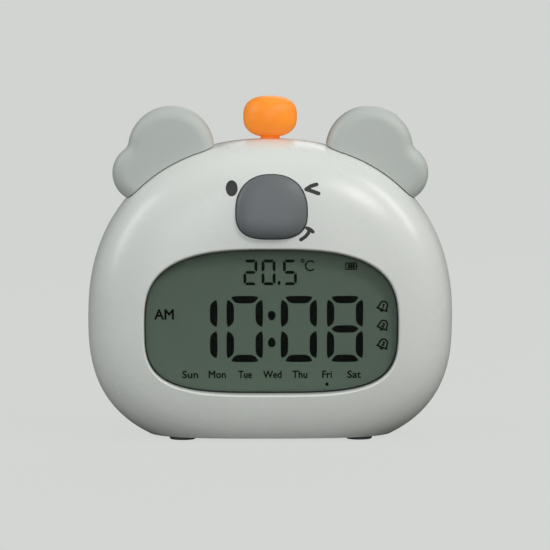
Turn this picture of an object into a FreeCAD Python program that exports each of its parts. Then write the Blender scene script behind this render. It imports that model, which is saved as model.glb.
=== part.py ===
import FreeCAD, Part
import math
import os

V = FreeCAD.Vector
X_AXIS = V(1, 0, 0)
Y_AXIS = V(0, 1, 0)
Z_AXIS = V(0, 0, 1)

# A child's alarm clock with a night light. Sizes are in mm.
# X runs to the right seen from the front, the face looks along -Y, +Z is up, and z = 0 is the table.

# Body: a soft superellipse in front view, domed to the face and to the back
BODY_WIDTH = 125.0
BODY_TOP = 101.8
WIDEST_Z = 41.0
LOWER_REACH = 46.8
UPPER_POWER = 2.23
LOWER_POWER = 2.67
BAND_FRONT_Y = 0.0
FACE_DEPTH = 27.0
BAND_DEPTH = 11.0
BACK_DEPTH = 18.0
FACE_SIDE_POWER = 5.5
FACE_DEPTH_POWER = 2.5
BACK_SIDE_POWER = 4.5
BACK_DEPTH_POWER = 2.4
WALL = 2.2
SKIN = 1.0
GROOVE_WIDTH = 0.7
GROOVE_DEPTH = 0.45
LIP_HEIGHT = 2.0
LIP_THICK = 1.0
LIP_GAP = 0.1

# Feet on the flat underside
FOOT_HEIGHT = 1.0
FOOT_SINK = 0.8
FOOT_RADIUS = 4.5
FOOT_X = 30.0
FOOT_FRONT_Y = -13.0
FOOT_BACK_Y = 17.5
FOOT_CHAMFER = 0.3
FOOT_GAP = 0.1

# Display window in the face, a recess with a drafted wall that ends on a flat lens
WINDOW_HALF_X = 42.6
WINDOW_MID_Z = 39.8
WINDOW_UP = 25.3
WINDOW_DOWN = 22.7
WINDOW_UP_POWER = 2.9
WINDOW_DOWN_POWER = 3.6
WINDOW_DEPTH = 3.3
WINDOW_DRAFT = 11.0
WINDOW_ROUND = 0.6
LENS_THICK = 1.5
LENS_LEDGE = 1.2
LENS_GAP = 0.1
RIM_WALL = 1.1

# Liquid crystal display, light guide and their tray, stacked behind the lens
LCD_WIDTH = 85.6
LCD_HEIGHT = 49.6
LCD_MID_Z = 41.1
GASKET_THICK = 1.0
GLASS_THICK = 1.4
CONTACT_LEDGE = 2.9
DIFFUSER_THICK = 0.3
GUIDE_THICK = 2.5
GUIDE_SIDE = 1.6
REFLECTOR_THICK = 0.3
TRAY_WALL = 1.3
TRAY_FLOOR = 1.4
TRAY_GAP = 0.2
TRAY_RELIEF = 0.3
LUG_THICK = 1.4
LUG_REACH = 2.6
ZEBRA_THICK = 2.0
ZEBRA_LENGTH = 72.0
LED_SIZE = 1.2
LED_LENGTH = 3.2
LED_STEP = 12.0

# Main board behind the tray
BOARD_THICK = 1.6
BOARD_POST_X = 47.4
BOARD_POST_LOW_Z = 22.5
BOARD_POST_HIGH_Z = 59.5
BOARD_POST_RADIUS = 2.6
BOARD_MARGIN = 2.8
BOARD_CORNER = 4.0

# Screws: shank radius, head radius, head height and the clearance of a shank in its hole
SCREW_SHANK = 1.0
SCREW_HEAD = 2.1
SCREW_HEAD_HIGH = 1.4
SCREW_DEPTH = 6.0
SCREW_CLEAR = 0.05
COVER_SHANK = 1.3
COVER_HEAD = 2.6
COVER_HEAD_HIGH = 1.9
COVER_DEPTH = 10.0

# Cover posts, from the front housing to the joint plane
POST_RADIUS = 3.25
POST_LOW_X = 54.0
POST_LOW_Z = 40.0
POST_HIGH_X = 27.0
POST_HIGH_Z = 84.0
COUNTERBORE_RADIUS = 3.1
COUNTERBORE_WALL = 1.5
COUNTERBORE_FLOOR = 2.5

# Small press switches: square body, round plunger in a bore
SWITCH_SIDE = 6.0
SWITCH_HIGH = 3.2
PLUNGER_RADIUS = 1.7
PLUNGER_BORE = 1.85
PLUNGER_SPARE = 0.4
PLUNGER_INSIDE = 1.0
SMALL_BOARD = 1.2

# Nose button, a crowned cap that follows the tilt of the face
NOSE_HALF_X = 11.8
NOSE_MID_Z = 78.05
NOSE_UP = 12.35
NOSE_DOWN = 9.15
NOSE_UP_POWER = 2.25
NOSE_DOWN_POWER = 2.9
NOSE_PROUD = 3.4
NOSE_CROWN = 2.6
NOSE_CROWN_SIDE_POWER = 2.9
NOSE_CROWN_DEPTH_POWER = 2.1
NOSE_WALL = 1.6
NOSE_GAP = 0.35
NOSE_FLANGE = 0.8
NOSE_FLANGE_THICK = 1.2
NOSE_SEAT = 2.8
NOSE_SEAT_GAP = 0.1
NOSE_TRAVEL = 0.8
NOSE_BOSS_RADIUS = 2.6
NOSE_BOSS_LENGTH = 2.4
NOSE_POST_X = 16.8
NOSE_BOARD_HALF_X = 19.6
NOSE_BOARD_HALF_Z = 6.0

# Lamp button, a translucent cap on a hollow neck
LAMP_Y = 2.0
LAMP_HALF_X = 9.25
LAMP_HALF_Z = 7.05
LAMP_POWER = 2.3
LAMP_GAP = 0.65
LAMP_CORE_RADIUS = 6.0
LAMP_CORE_HALF = 4.4
NECK_RADIUS = 3.6
NECK_BORE = 2.3
NECK_GAP = 0.25
SLEEVE_WALL = 1.6
SLEEVE_LENGTH = 5.8
COLLAR_SEAT_GAP = 0.2
COLLAR_RADIUS = 5.2
COLLAR_HEIGHT = 3.8
COLLAR_FLANGE_RADIUS = 8.2
COLLAR_FLANGE_THICK = 1.3
COLLAR_FIT = 0.03
LAMP_TRAVEL = 0.6
LAMP_SWITCH_X = 5.8
LAMP_POST_X = 12.0
LAMP_POST_RADIUS = 2.4
LAMP_BOARD_HALF_Y = 6.0
LAMP_LED_RADIUS = 1.5
LAMP_LED_HIGH = 3.0
LAMP_LED_EDGE = 0.3

# Ears: two lobes with a soft edge, each a hollow moulding with a tenon through the body wall
EAR_BASE_X = 37.3
EAR_LEAN = 3.5
EAR_Y = -1.0
EAR_THICK = 20.5
EAR_ROUND = 8.8
EAR_CORE_IN = 5.0
EAR_CORE_FACE = 3.0
EAR_WEB = 2.0
EAR_NECK = 4.0
EAR_BIG_ALONG = -6.34
EAR_BIG_OUT = 2.94
EAR_BIG_RADIUS = 14.7
EAR_SMALL_ALONG = 6.6
EAR_SMALL_OUT = 2.32
EAR_SMALL_RADIUS = 9.9
TENON_HALF_ALONG = 6.5
TENON_HALF_Y = 3.4
TENON_GAP = 0.15
TENON_ABOVE = 3.0
EAR_PAD_DEPTH = 5.0
EAR_PAD_SIDE = 3.6
EAR_PLATE_THICK = 1.6
EAR_SCREW_ALONG = 3.6

# Row of five keys in the back, over their own board
KEY_COUNT = 5
KEY_STEP = 14.0
KEY_Z = 45.0
KEY_RADIUS = 4.0
KEY_GAP = 0.2
KEY_PROUD = 1.1
KEY_CHAMFER = 0.5
KEY_FLANGE = 1.2
KEY_FLANGE_THICK = 1.1
KEY_SEAT = 2.4
KEY_SEAT_GAP = 0.1
KEY_STEM_RADIUS = 2.0
KEY_STEM_LENGTH = 0.8
KEY_TRAVEL = 0.5
KEY_BOARD_HALF_Z = 4.2
KEY_POST_X = 37.0
KEY_POST_RADIUS = 2.4

# Loudspeaker behind a slotted grille in the back
SPEAKER_Z = 70.5
SPEAKER_RADIUS = 18.0
SPEAKER_SEAT = 7.6
SPEAKER_FLANGE = 1.2
SPEAKER_FIT = 0.2
SPEAKER_RING = 1.6
SPEAKER_BASKET_DEPTH = 5.0
SPEAKER_BASKET_RADIUS = 11.0
SPEAKER_MAGNET_RADIUS = 10.0
SPEAKER_MAGNET_THICK = 4.5
SPEAKER_POST_RADIUS = 2.4
CONE_EDGE = 15.5
CONE_THROAT = 5.0
CONE_DEPTH = 3.6
CONE_THICK = 0.5
CONE_SEAT = 17.0
GRILLE_RADIUS = 14.0
GRILLE_SLOT = 1.8
GRILLE_STEP = 3.8
GRILLE_ROWS = 7

# Charging socket and its board
USB_Z = 30.0
USB_HALF_X = 4.47
USB_HALF_Z = 1.58
USB_LENGTH = 7.3
USB_TONGUE_HALF_X = 3.35
USB_TONGUE_HALF_Z = 0.35
USB_SHELL = 0.3
USB_GAP = 0.35
USB_SINK = 0.6
CHARGE_HALF_X = 12.0
CHARGE_LENGTH = 12.0
CHARGE_RIB_X = 9.6
CHARGE_RIB_HALF = 1.9
CHARGE_RIB_HIGH = 4.0
CHARGE_RIB_GAP = 1.0

# Battery cell lying along X on a cradle
CELL_RADIUS = 9.1
CELL_LENGTH = 65.0
CELL_CAP_RADIUS = 2.8
CELL_CAP_HIGH = 0.6
CELL_BEHIND_BOARD = 2.6
CELL_FIT = 0.1
CRADLE_FLOOR = 1.6
CRADLE_SADDLE_X = 22.0
CRADLE_SADDLE_THICK = 4.0
CRADLE_SIDE = 1.6
CRADLE_HIGH = 8.0

OUTLINE_POINTS = 32
DOME_ANGLES = (0, 12, 25, 40, 54, 66, 76, 84)
LAMP_STEPS = 10
FAR = 200.0

# Planes that follow from the sizes above
UPPER_REACH = BODY_TOP - WIDEST_Z
FACE_Y = BAND_FRONT_Y - FACE_DEPTH
JOINT_Y = BAND_FRONT_Y + BAND_DEPTH
BACK_Y = JOINT_Y + BACK_DEPTH
LENS_Y = FACE_Y + WINDOW_DEPTH
LENS_BACK_Y = LENS_Y + LENS_THICK
LCD_Y = LENS_BACK_Y + GASKET_THICK
LCD_BACK_Y = LCD_Y + 2 * GLASS_THICK
DIFFUSER_BACK_Y = LCD_BACK_Y + DIFFUSER_THICK
GUIDE_BACK_Y = DIFFUSER_BACK_Y + GUIDE_THICK
TRAY_FLOOR_Y = GUIDE_BACK_Y + REFLECTOR_THICK
LUG_Y = TRAY_FLOOR_Y + TRAY_FLOOR
BOARD_Y = LUG_Y + LUG_THICK
BOARD_BACK_Y = BOARD_Y + BOARD_THICK
KEY_SEAT_Y = BACK_Y - KEY_SEAT
SPEAKER_SEAT_Y = BACK_Y - SPEAKER_SEAT
CELL_Y = BOARD_BACK_Y + CELL_BEHIND_BOARD + CELL_RADIUS
CELL_Z = FOOT_HEIGHT + WALL + CRADLE_FLOOR + CELL_RADIUS


class Outline:
    """A closed curve in an XZ plane: a superellipse with its own power and reach above and below."""

    def __init__(self, half_x, up, down, up_power, down_power, mid_z):
        self.half_x = half_x
        self.up = up
        self.down = down
        self.up_power = up_power
        self.down_power = down_power
        self.mid_z = mid_z

    def grown(self, by):
        return Outline(self.half_x + by, self.up + by, self.down + by,
                       self.up_power, self.down_power, self.mid_z)

    def point(self, angle, y, k=1.0):
        c = math.cos(angle)
        s = math.sin(angle)
        half_z = self.up if s >= 0 else self.down
        power = self.up_power if s >= 0 else self.down_power
        reach = (abs(c / self.half_x) ** power + abs(s / half_z) ** power) ** (-1 / power)
        return V(k * reach * c, y, self.mid_z + k * reach * s)

    def wire(self, y, k=1.0):
        points = [self.point(2 * math.pi * i / OUTLINE_POINTS, y, k) for i in range(OUTLINE_POINTS)]
        curve = Part.BSplineCurve()
        curve.interpolate(points, PeriodicFlag=True)
        return Part.Wire(curve.toShape())

    def prism(self, y_from, y_to):
        return Part.Face(self.wire(y_from)).extrude(V(0, y_to - y_from, 0))

    def dome(self, y_base, y_top, side_power, depth_power):
        sections = []
        for degrees in DOME_ANGLES:
            angle = math.radians(degrees)
            k = math.cos(angle) ** (2 / side_power)
            y = y_base + (y_top - y_base) * math.sin(angle) ** (2 / depth_power)
            sections.append(self.wire(y, k))
        return Part.makeLoft(sections, True, False)

    def taper(self, y_from, y_to, grow_to):
        return Part.makeLoft([self.wire(y_from), self.grown(grow_to).wire(y_to)], True, True)

    def share(self, x, z):
        """How far (x, z) lies from the middle towards the curve, 1 on the curve."""
        above = z >= self.mid_z
        half_z = self.up if above else self.down
        power = self.up_power if above else self.down_power
        total = abs(x / self.half_x) ** power + abs((z - self.mid_z) / half_z) ** power
        return total ** (1 / power)


BODY = Outline(BODY_WIDTH / 2, UPPER_REACH, LOWER_REACH, UPPER_POWER, LOWER_POWER, WIDEST_Z)
WINDOW = Outline(WINDOW_HALF_X, WINDOW_UP, WINDOW_DOWN, WINDOW_UP_POWER, WINDOW_DOWN_POWER, WINDOW_MID_Z)
LENS_HOLE = WINDOW.grown(-WINDOW_DEPTH * math.tan(math.radians(WINDOW_DRAFT)))
NOSE = Outline(NOSE_HALF_X, NOSE_UP, NOSE_DOWN, NOSE_UP_POWER, NOSE_DOWN_POWER, NOSE_MID_Z)


def box(x0, x1, y0, y1, z0, z1):
    return Part.makeBox(x1 - x0, y1 - y0, z1 - z0, V(x0, y0, z0))


def rod(radius, start, end):
    return Part.makeCylinder(radius, (end - start).Length, start, end - start)


def mirrored(shape):
    return shape.mirror(V(0, 0, 0), X_AXIS)


def both_sides(shape):
    return [shape, mirrored(shape)]


def merged(base, extras):
    return base.fuse(list(extras)).removeSplitter()


def standing(shape, origin, outward):
    """Moves a shape made along +Z so that its +Z looks outward from origin."""
    moved = shape.copy()
    moved.Placement = FreeCAD.Placement(origin, FreeCAD.Rotation(Z_AXIS, outward))
    return moved


def rounded_plate(half_x, half_z, mid_z, y_from, y_to, corner):
    plate = box(-half_x, half_x, y_from, y_to, mid_z - half_z, mid_z + half_z)
    corners = [e for e in plate.Edges if abs(e.tangentAt(e.FirstParameter).y) > 0.99]
    return plate.makeFillet(corner, corners)


def screw(length, shank=SCREW_SHANK, head=SCREW_HEAD, head_high=SCREW_HEAD_HIGH):
    """Head above z = 0, shank below it."""
    return merged(rod(head, V(0, 0, 0), V(0, 0, head_high)), [rod(shank, V(0, 0, -length), V(0, 0, 0))])


def pilot(length, shank=SCREW_SHANK):
    return rod(shank + SCREW_CLEAR, V(0, 0, -length), V(0, 0, 0))


def screws_at(places, outward, length):
    return Part.makeCompound([standing(screw(length), place, outward) for place in places])


def pilots_at(places, outward, length):
    return [standing(pilot(length), place, outward) for place in places]


def switch_body():
    half = SWITCH_SIDE / 2
    body = box(-half, half, -half, half, 0, SWITCH_HIGH)
    return body.cut(rod(PLUNGER_BORE, V(0, 0, SWITCH_HIGH / 3), V(0, 0, SWITCH_HIGH)))


def switch_plunger(travel):
    """Stands out of the body by its travel and some spare, and reaches into the bore."""
    return rod(PLUNGER_RADIUS, V(0, 0, SWITCH_HIGH - PLUNGER_INSIDE), V(0, 0, plunger_top(travel)))


def plunger_top(travel):
    return SWITCH_HIGH + travel + PLUNGER_SPARE


def above(shape, z):
    return shape.common(box(-FAR, FAR, -FAR, FAR, z, FAR))


def front_form(inset, past_joint=0.0):
    """The body in front of the joint plane, drawn in by inset on every side but the joint."""
    outline = BODY.grown(-inset)
    dome = outline.dome(BAND_FRONT_Y, FACE_Y + inset, FACE_SIDE_POWER, FACE_DEPTH_POWER)
    band = outline.prism(BAND_FRONT_Y, JOINT_Y + past_joint)
    return above(dome.fuse(band), FOOT_HEIGHT + inset)


def back_form(inset):
    outline = BODY.grown(-inset)
    dome = outline.dome(JOINT_Y, BACK_Y - inset, BACK_SIDE_POWER, BACK_DEPTH_POWER)
    return above(dome, FOOT_HEIGHT + inset)


FRONT_OUTER = front_form(0)
FRONT_TRIM = front_form(SKIN)
BACK_TRIM = back_form(SKIN)


def face_at(z):
    """Y of the face surface on the centre plane at height z."""
    k = BODY.share(0, z)
    return BAND_FRONT_Y - FACE_DEPTH * (1 - k ** FACE_SIDE_POWER) ** (1 / FACE_DEPTH_POWER)


# The nose is drawn upright in front of the face and then tipped to the face's own slope
NOSE_CENTRE_Z = NOSE_MID_Z + (NOSE_UP - NOSE_DOWN) / 2
NOSE_FACE_Y = face_at(NOSE_CENTRE_Z)
NOSE_STEP = 4.0
NOSE_TILT = math.degrees(math.atan2(face_at(NOSE_CENTRE_Z + NOSE_STEP) - face_at(NOSE_CENTRE_Z - NOSE_STEP),
                                    2 * NOSE_STEP))
NOSE_SEAT_Y = NOSE_FACE_Y + NOSE_SEAT
NOSE_FLANGE_BACK_Y = NOSE_SEAT_Y + NOSE_SEAT_GAP + NOSE_FLANGE_THICK
NOSE_PRESS_Y = NOSE_FLANGE_BACK_Y + NOSE_BOSS_LENGTH
NOSE_BOARD_Y = NOSE_PRESS_Y + plunger_top(NOSE_TRAVEL)


def tipped(shape):
    turned = shape.copy()
    turned.rotate(V(0, NOSE_FACE_Y, NOSE_CENTRE_Z), X_AXIS, -NOSE_TILT)
    return turned


def nose_post_places(y):
    return [V(side * NOSE_POST_X, y, NOSE_CENTRE_Z) for side in (-1, 1)]


# The lamp's stack hangs from the top of the body
SLEEVE_BOTTOM_Z = BODY_TOP - SLEEVE_LENGTH
COLLAR_TOP_Z = SLEEVE_BOTTOM_Z - COLLAR_SEAT_GAP
COLLAR_BOTTOM_Z = COLLAR_TOP_Z - COLLAR_HEIGHT
LAMP_MID_Z = BODY_TOP + LAMP_GAP + LAMP_HALF_Z
LAMP_BOARD_Z = COLLAR_BOTTOM_Z - plunger_top(LAMP_TRAVEL)


def lamp_post_places(z):
    return [V(side * LAMP_POST_X, LAMP_Y, z) for side in (-1, 1)]


def ear_placement():
    """Local +Z looks out of the body at the ear's base, local +X runs down the outline."""
    share_x = EAR_BASE_X / BODY.half_x
    rise = (1 - share_x ** BODY.up_power) ** (1 / BODY.up_power)
    slope_x = share_x ** (BODY.up_power - 1) / BODY.half_x
    slope_z = rise ** (BODY.up_power - 1) / BODY.up
    tilt = math.degrees(math.atan2(slope_x, slope_z)) + EAR_LEAN
    base = V(EAR_BASE_X, EAR_Y, WIDEST_Z + BODY.up * rise)
    return FreeCAD.Placement(base, FreeCAD.Rotation(Y_AXIS, tilt))


EAR_PLACE = ear_placement()


def on_ear(shape):
    moved = shape.copy()
    moved.Placement = EAR_PLACE.multiply(shape.Placement)
    return moved


def blended_discs(lobes, blend, y):
    """Outline of two overlapping discs, each given as middle x, middle z and radius, with blended corners."""
    (x1, z1, r1), (x2, z2, r2) = lobes
    first = V(x1, y, z1)
    second = V(x2, y, z2)
    span = (second - first).Length
    ahead = (second - first) / span
    aside = V(-ahead.z, 0, ahead.x)
    along = (span ** 2 + (r1 + blend) ** 2 - (r2 + blend) ** 2) / (2 * span)
    away = math.sqrt((r1 + blend) ** 2 - along ** 2)

    def corner(side):
        centre = first + ahead * along + aside * (side * away)
        on_first = first + (centre - first) * (r1 / (r1 + blend))
        on_second = second + (centre - second) * (r2 / (r2 + blend))
        inward = ((on_first + on_second) / 2 - centre).normalize()
        return on_first, centre + inward * blend, on_second

    top_first, top_mid, top_second = corner(1)
    low_first, low_mid, low_second = corner(-1)
    arcs = [Part.Arc(top_first, top_mid, top_second), Part.Arc(top_second, second + ahead * r2, low_second),
            Part.Arc(low_second, low_mid, low_first), Part.Arc(low_first, first - ahead * r1, top_first)]
    return Part.Wire([arc.toShape() for arc in arcs])


def ear_slab(inset, half):
    """Two blended discs drawn in by inset, as thick as twice half."""
    lobes = ((EAR_BIG_ALONG, EAR_BIG_OUT, EAR_BIG_RADIUS - inset),
             (EAR_SMALL_ALONG, EAR_SMALL_OUT, EAR_SMALL_RADIUS - inset))
    return Part.Face(blended_discs(lobes, EAR_NECK + inset, -half)).extrude(V(0, 2 * half, 0))


def ear_form():
    half = EAR_THICK / 2
    slab = ear_slab(0, half)
    rims = [e for e in slab.Edges if abs(abs(e.CenterOfMass.y) - half) < 1e-3]
    return slab.makeFillet(EAR_ROUND, rims)


def ear_tenon():
    return box(-TENON_HALF_ALONG, TENON_HALF_ALONG, -TENON_HALF_Y, TENON_HALF_Y,
               -EAR_PAD_DEPTH + TENON_GAP, TENON_ABOVE)


def ear_screw_places():
    return [V(side * EAR_SCREW_ALONG, 0, -EAR_PAD_DEPTH - EAR_PLATE_THICK) for side in (-1, 1)]


def ear():
    web = box(-FAR, FAR, -EAR_WEB / 2, EAR_WEB / 2, -FAR, FAR)
    core = ear_slab(EAR_CORE_IN, EAR_THICK / 2 - EAR_CORE_FACE).cut(web)
    moulding = on_ear(ear_form().cut(core)).cut(FRONT_OUTER)
    moulding = merged(moulding, [on_ear(ear_tenon())])
    holes = [on_ear(s) for s in pilots_at(ear_screw_places(), V(0, 0, -1), SCREW_DEPTH)]
    return moulding.cut(holes)


def ear_plate():
    half_x = TENON_HALF_ALONG + EAR_PAD_SIDE - LENS_GAP
    half_y = TENON_HALF_Y + EAR_PAD_SIDE - LENS_GAP
    plate = box(-half_x, half_x, -half_y, half_y, -EAR_PAD_DEPTH - EAR_PLATE_THICK, -EAR_PAD_DEPTH)
    holes = pilots_at(ear_screw_places(), V(0, 0, -1), SCREW_DEPTH)
    return on_ear(plate.cut(holes))


def ear_pad():
    half_x = TENON_HALF_ALONG + EAR_PAD_SIDE
    half_y = TENON_HALF_Y + EAR_PAD_SIDE
    return on_ear(box(-half_x, half_x, -half_y, half_y, -EAR_PAD_DEPTH, TENON_ABOVE))


def ear_slot():
    half_x = TENON_HALF_ALONG + TENON_GAP
    half_y = TENON_HALF_Y + TENON_GAP
    return on_ear(box(-half_x, half_x, -half_y, half_y, -2 * EAR_PAD_DEPTH, TENON_ABOVE))


def cover_post_places(y):
    low = [V(side * POST_LOW_X, y, POST_LOW_Z) for side in (-1, 1)]
    high = [V(side * POST_HIGH_X, y, POST_HIGH_Z) for side in (-1, 1)]
    return low + high


def board_post_places(y):
    return [V(side * BOARD_POST_X, y, z) for side in (-1, 1) for z in (BOARD_POST_LOW_Z, BOARD_POST_HIGH_Z)]


def foot_places(z):
    return [V(side * FOOT_X, y, z) for side in (-1, 1) for y in (FOOT_FRONT_Y, FOOT_BACK_Y)]


def foot_recesses():
    top = V(0, 0, FOOT_SINK)
    return [rod(FOOT_RADIUS + FOOT_GAP, place, place + top) for place in foot_places(FOOT_HEIGHT)]


TRAY_HALF_X = LCD_WIDTH / 2 + TRAY_GAP + TRAY_WALL
TRAY_HALF_Z = LCD_HEIGHT / 2 + TRAY_GAP + TRAY_WALL


def window_recess():
    """The drafted recess, from the lens out past the face."""
    reach = WINDOW_DEPTH + 1.0
    return LENS_HOLE.taper(LENS_Y, LENS_Y - reach, reach * math.tan(math.radians(WINDOW_DRAFT)))


def front_shell():
    shell = FRONT_OUTER.cut(window_recess())
    brow = [e for e in shell.Edges
            if e.BoundBox.XLength > 2 * LENS_HOLE.half_x and e.BoundBox.YMax < LENS_Y - 1.0]
    shell = shell.makeFillet(WINDOW_ROUND, brow)
    shell = shell.cut([front_form(WALL, past_joint=1.0), joint_rebate()])
    rim = LENS_HOLE.grown(LENS_LEDGE + RIM_WALL).prism(FACE_Y, LENS_BACK_Y)
    seat = tipped(NOSE.grown(NOSE_GAP + 2 * NOSE_FLANGE).prism(NOSE_FACE_Y - WALL, NOSE_SEAT_Y))
    posts = [rod(POST_RADIUS, place, V(place.x, JOINT_Y, place.z)) for place in cover_post_places(FACE_Y)]
    posts += [rod(BOARD_POST_RADIUS, place, V(place.x, LUG_Y, place.z))
              for place in board_post_places(FACE_Y)]
    posts += [tipped(rod(BOARD_POST_RADIUS, place, V(place.x, NOSE_BOARD_Y, place.z)))
              for place in nose_post_places(NOSE_FACE_Y - WALL)]
    posts += [rod(LAMP_POST_RADIUS, V(place.x, place.y, LAMP_BOARD_Z), place)
              for place in lamp_post_places(BODY_TOP)]
    sleeve_radius = NECK_RADIUS + NECK_GAP + SLEEVE_WALL
    sleeve = lamp_rod(sleeve_radius, SLEEVE_BOTTOM_Z, BODY_TOP)
    inner = [rim, seat, sleeve] + posts + both_sides(ear_pad())
    shell = shell.fuse([piece.common(FRONT_TRIM) for piece in inner])

    cuts = [window_recess(), LENS_HOLE.grown(LENS_LEDGE).prism(LENS_Y, LENS_BACK_Y + 1.0)]
    tray_x = TRAY_HALF_X + TRAY_RELIEF
    tray_z = TRAY_HALF_Z + TRAY_RELIEF
    cuts.append(box(-tray_x, tray_x, LCD_Y - TRAY_RELIEF, LUG_Y, LCD_MID_Z - tray_z, LCD_MID_Z + tray_z))
    cuts.append(tipped(NOSE.grown(NOSE_GAP).prism(NOSE_FACE_Y - 2 * NOSE_PROUD, NOSE_SEAT_Y + 1.0)))
    cuts.append(tipped(NOSE.grown(2 * NOSE_GAP + NOSE_FLANGE).prism(NOSE_SEAT_Y, NOSE_PRESS_Y)))
    cuts.append(lamp_rod(NECK_RADIUS + NECK_GAP, SLEEVE_BOTTOM_Z - 1.0, BODY_TOP + 1.0))
    cuts += both_sides(ear_slot())
    cuts += foot_recesses()
    cuts += [rod(COVER_SHANK + SCREW_CLEAR, place, place - V(0, COVER_DEPTH + 1.0, 0))
             for place in cover_post_places(JOINT_Y)]
    cuts += pilots_at(board_post_places(BOARD_BACK_Y), Y_AXIS, SCREW_DEPTH + BOARD_THICK + LUG_THICK)
    cuts += [tipped(s) for s in pilots_at(nose_post_places(NOSE_BOARD_Y), Y_AXIS, SCREW_DEPTH)]
    cuts += pilots_at(lamp_post_places(LAMP_BOARD_Z), -Z_AXIS, SCREW_DEPTH)
    return shell.cut(cuts)


def window_lens():
    return LENS_HOLE.grown(LENS_LEDGE - LENS_GAP).prism(LENS_Y, LENS_BACK_Y)


def lcd_gasket():
    outer = LENS_HOLE.grown(LENS_LEDGE - LENS_GAP).prism(LENS_BACK_Y, LCD_Y)
    return outer.cut(LENS_HOLE.grown(LENS_GAP).prism(LENS_BACK_Y - 1.0, LCD_Y + 1.0))


def lcd_box(half_x, low, high, y_from, y_to):
    return box(-half_x, half_x, y_from, y_to,
               LCD_MID_Z - LCD_HEIGHT / 2 + low, LCD_MID_Z + LCD_HEIGHT / 2 - high)


def lcd_panel():
    front_glass = lcd_box(LCD_WIDTH / 2, 0, 0, LCD_Y, LCD_Y + GLASS_THICK)
    back_glass = lcd_box(LCD_WIDTH / 2, CONTACT_LEDGE, 0, LCD_Y + GLASS_THICK, LCD_BACK_Y)
    return merged(front_glass, [back_glass])


def lcd_diffuser():
    return lcd_box(LCD_WIDTH / 2 - GUIDE_SIDE, CONTACT_LEDGE, 0, LCD_BACK_Y, DIFFUSER_BACK_Y)


def light_guide():
    return lcd_box(LCD_WIDTH / 2 - GUIDE_SIDE, CONTACT_LEDGE, 0, DIFFUSER_BACK_Y, GUIDE_BACK_Y)


def lcd_reflector():
    return lcd_box(LCD_WIDTH / 2 - GUIDE_SIDE, CONTACT_LEDGE, 0, GUIDE_BACK_Y, TRAY_FLOOR_Y)


def backlight_leds():
    x = LCD_WIDTH / 2 - GUIDE_SIDE
    y = (DIFFUSER_BACK_Y + GUIDE_BACK_Y) / 2
    places = [LCD_MID_Z + step * LED_STEP for step in (-1, 0, 1)]
    half = LED_LENGTH / 2
    chips = [box(x, x + LED_SIZE, y - LED_SIZE, y + LED_SIZE, z - half, z + half) for z in places]
    strip = box(x + LED_SIZE, LCD_WIDTH / 2, y - LED_SIZE, y + LED_SIZE,
                LCD_MID_Z - LED_STEP - LED_LENGTH, LCD_MID_Z + LED_STEP + LED_LENGTH)
    return merged(strip, chips)


def zebra_strip():
    z = LCD_MID_Z - LCD_HEIGHT / 2 + (CONTACT_LEDGE - ZEBRA_THICK) / 2
    half = ZEBRA_LENGTH / 2
    return box(-half, half, LCD_Y + GLASS_THICK, BOARD_Y, z, z + ZEBRA_THICK)


def lcd_holder():
    tray = box(-TRAY_HALF_X, TRAY_HALF_X, LCD_Y + GLASS_THICK / 2, LUG_Y,
               LCD_MID_Z - TRAY_HALF_Z, LCD_MID_Z + TRAY_HALF_Z)
    pocket = lcd_box(LCD_WIDTH / 2 + TRAY_GAP, -TRAY_GAP, -TRAY_GAP, LCD_Y, TRAY_FLOOR_Y)
    tray = tray.cut(pocket)
    lugs = []
    for place in board_post_places(LUG_Y):
        side = math.copysign(1, place.x)
        inner = side * (TRAY_HALF_X - 2 * TRAY_WALL)
        outer = side * (BOARD_POST_X + LUG_REACH)
        low = min(inner, outer)
        high = max(inner, outer)
        lugs.append(box(low, high, LUG_Y, BOARD_Y, place.z - LUG_REACH, place.z + LUG_REACH))
    for edge_z in (LCD_MID_Z + TRAY_HALF_Z - TRAY_WALL, LCD_MID_Z - TRAY_HALF_Z):
        lugs.append(box(-TRAY_HALF_X / 2, TRAY_HALF_X / 2, LUG_Y, BOARD_Y, edge_z, edge_z + TRAY_WALL))
    tray = merged(tray, lugs)
    slot_z = LCD_MID_Z - LCD_HEIGHT / 2
    half = ZEBRA_LENGTH / 2 + TRAY_GAP
    slot = box(-half, half, TRAY_FLOOR_Y - 1.0, BOARD_Y + 1.0, slot_z, slot_z + CONTACT_LEDGE)
    holes = pilots_at(board_post_places(BOARD_BACK_Y), Y_AXIS, SCREW_DEPTH)
    return tray.cut([slot] + holes)


def main_board():
    half_z = (BOARD_POST_HIGH_Z - BOARD_POST_LOW_Z) / 2 + BOARD_MARGIN + SCREW_HEAD
    mid_z = (BOARD_POST_HIGH_Z + BOARD_POST_LOW_Z) / 2
    board = rounded_plate(BOARD_POST_X + BOARD_MARGIN, half_z, mid_z, BOARD_Y, BOARD_BACK_Y, BOARD_CORNER)
    return board.cut(pilots_at(board_post_places(BOARD_BACK_Y), Y_AXIS, SCREW_DEPTH))


# Parts on the back of the main board: middle x and z, width, height and thickness
BOARD_CHIPS = ((-8.0, 44.0, 11.0, 11.0, 1.2), (16.0, 50.0, 5.0, 6.2, 1.5), (-30.0, 50.0, 8.0, 5.0, 1.8),
               (30.0, 34.0, 6.0, 9.0, 3.2), (2.0, 58.0, 12.0, 3.0, 2.4))
BOARD_CANS = ((26.0, 54.0, 2.5, 5.4), (-26.0, 36.0, 3.15, 6.0), (-36.0, 36.0, 3.15, 6.0))


def board_components():
    y = BOARD_BACK_Y
    pieces = [box(x - w / 2, x + w / 2, y, y + t, z - h / 2, z + h / 2) for x, z, w, h, t in BOARD_CHIPS]
    pieces += [rod(radius, V(x, y, z), V(x, y + high, z)) for x, z, radius, high in BOARD_CANS]
    return Part.makeCompound(pieces)


def board_screws():
    return screws_at(board_post_places(BOARD_BACK_Y), Y_AXIS, SCREW_DEPTH)


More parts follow.
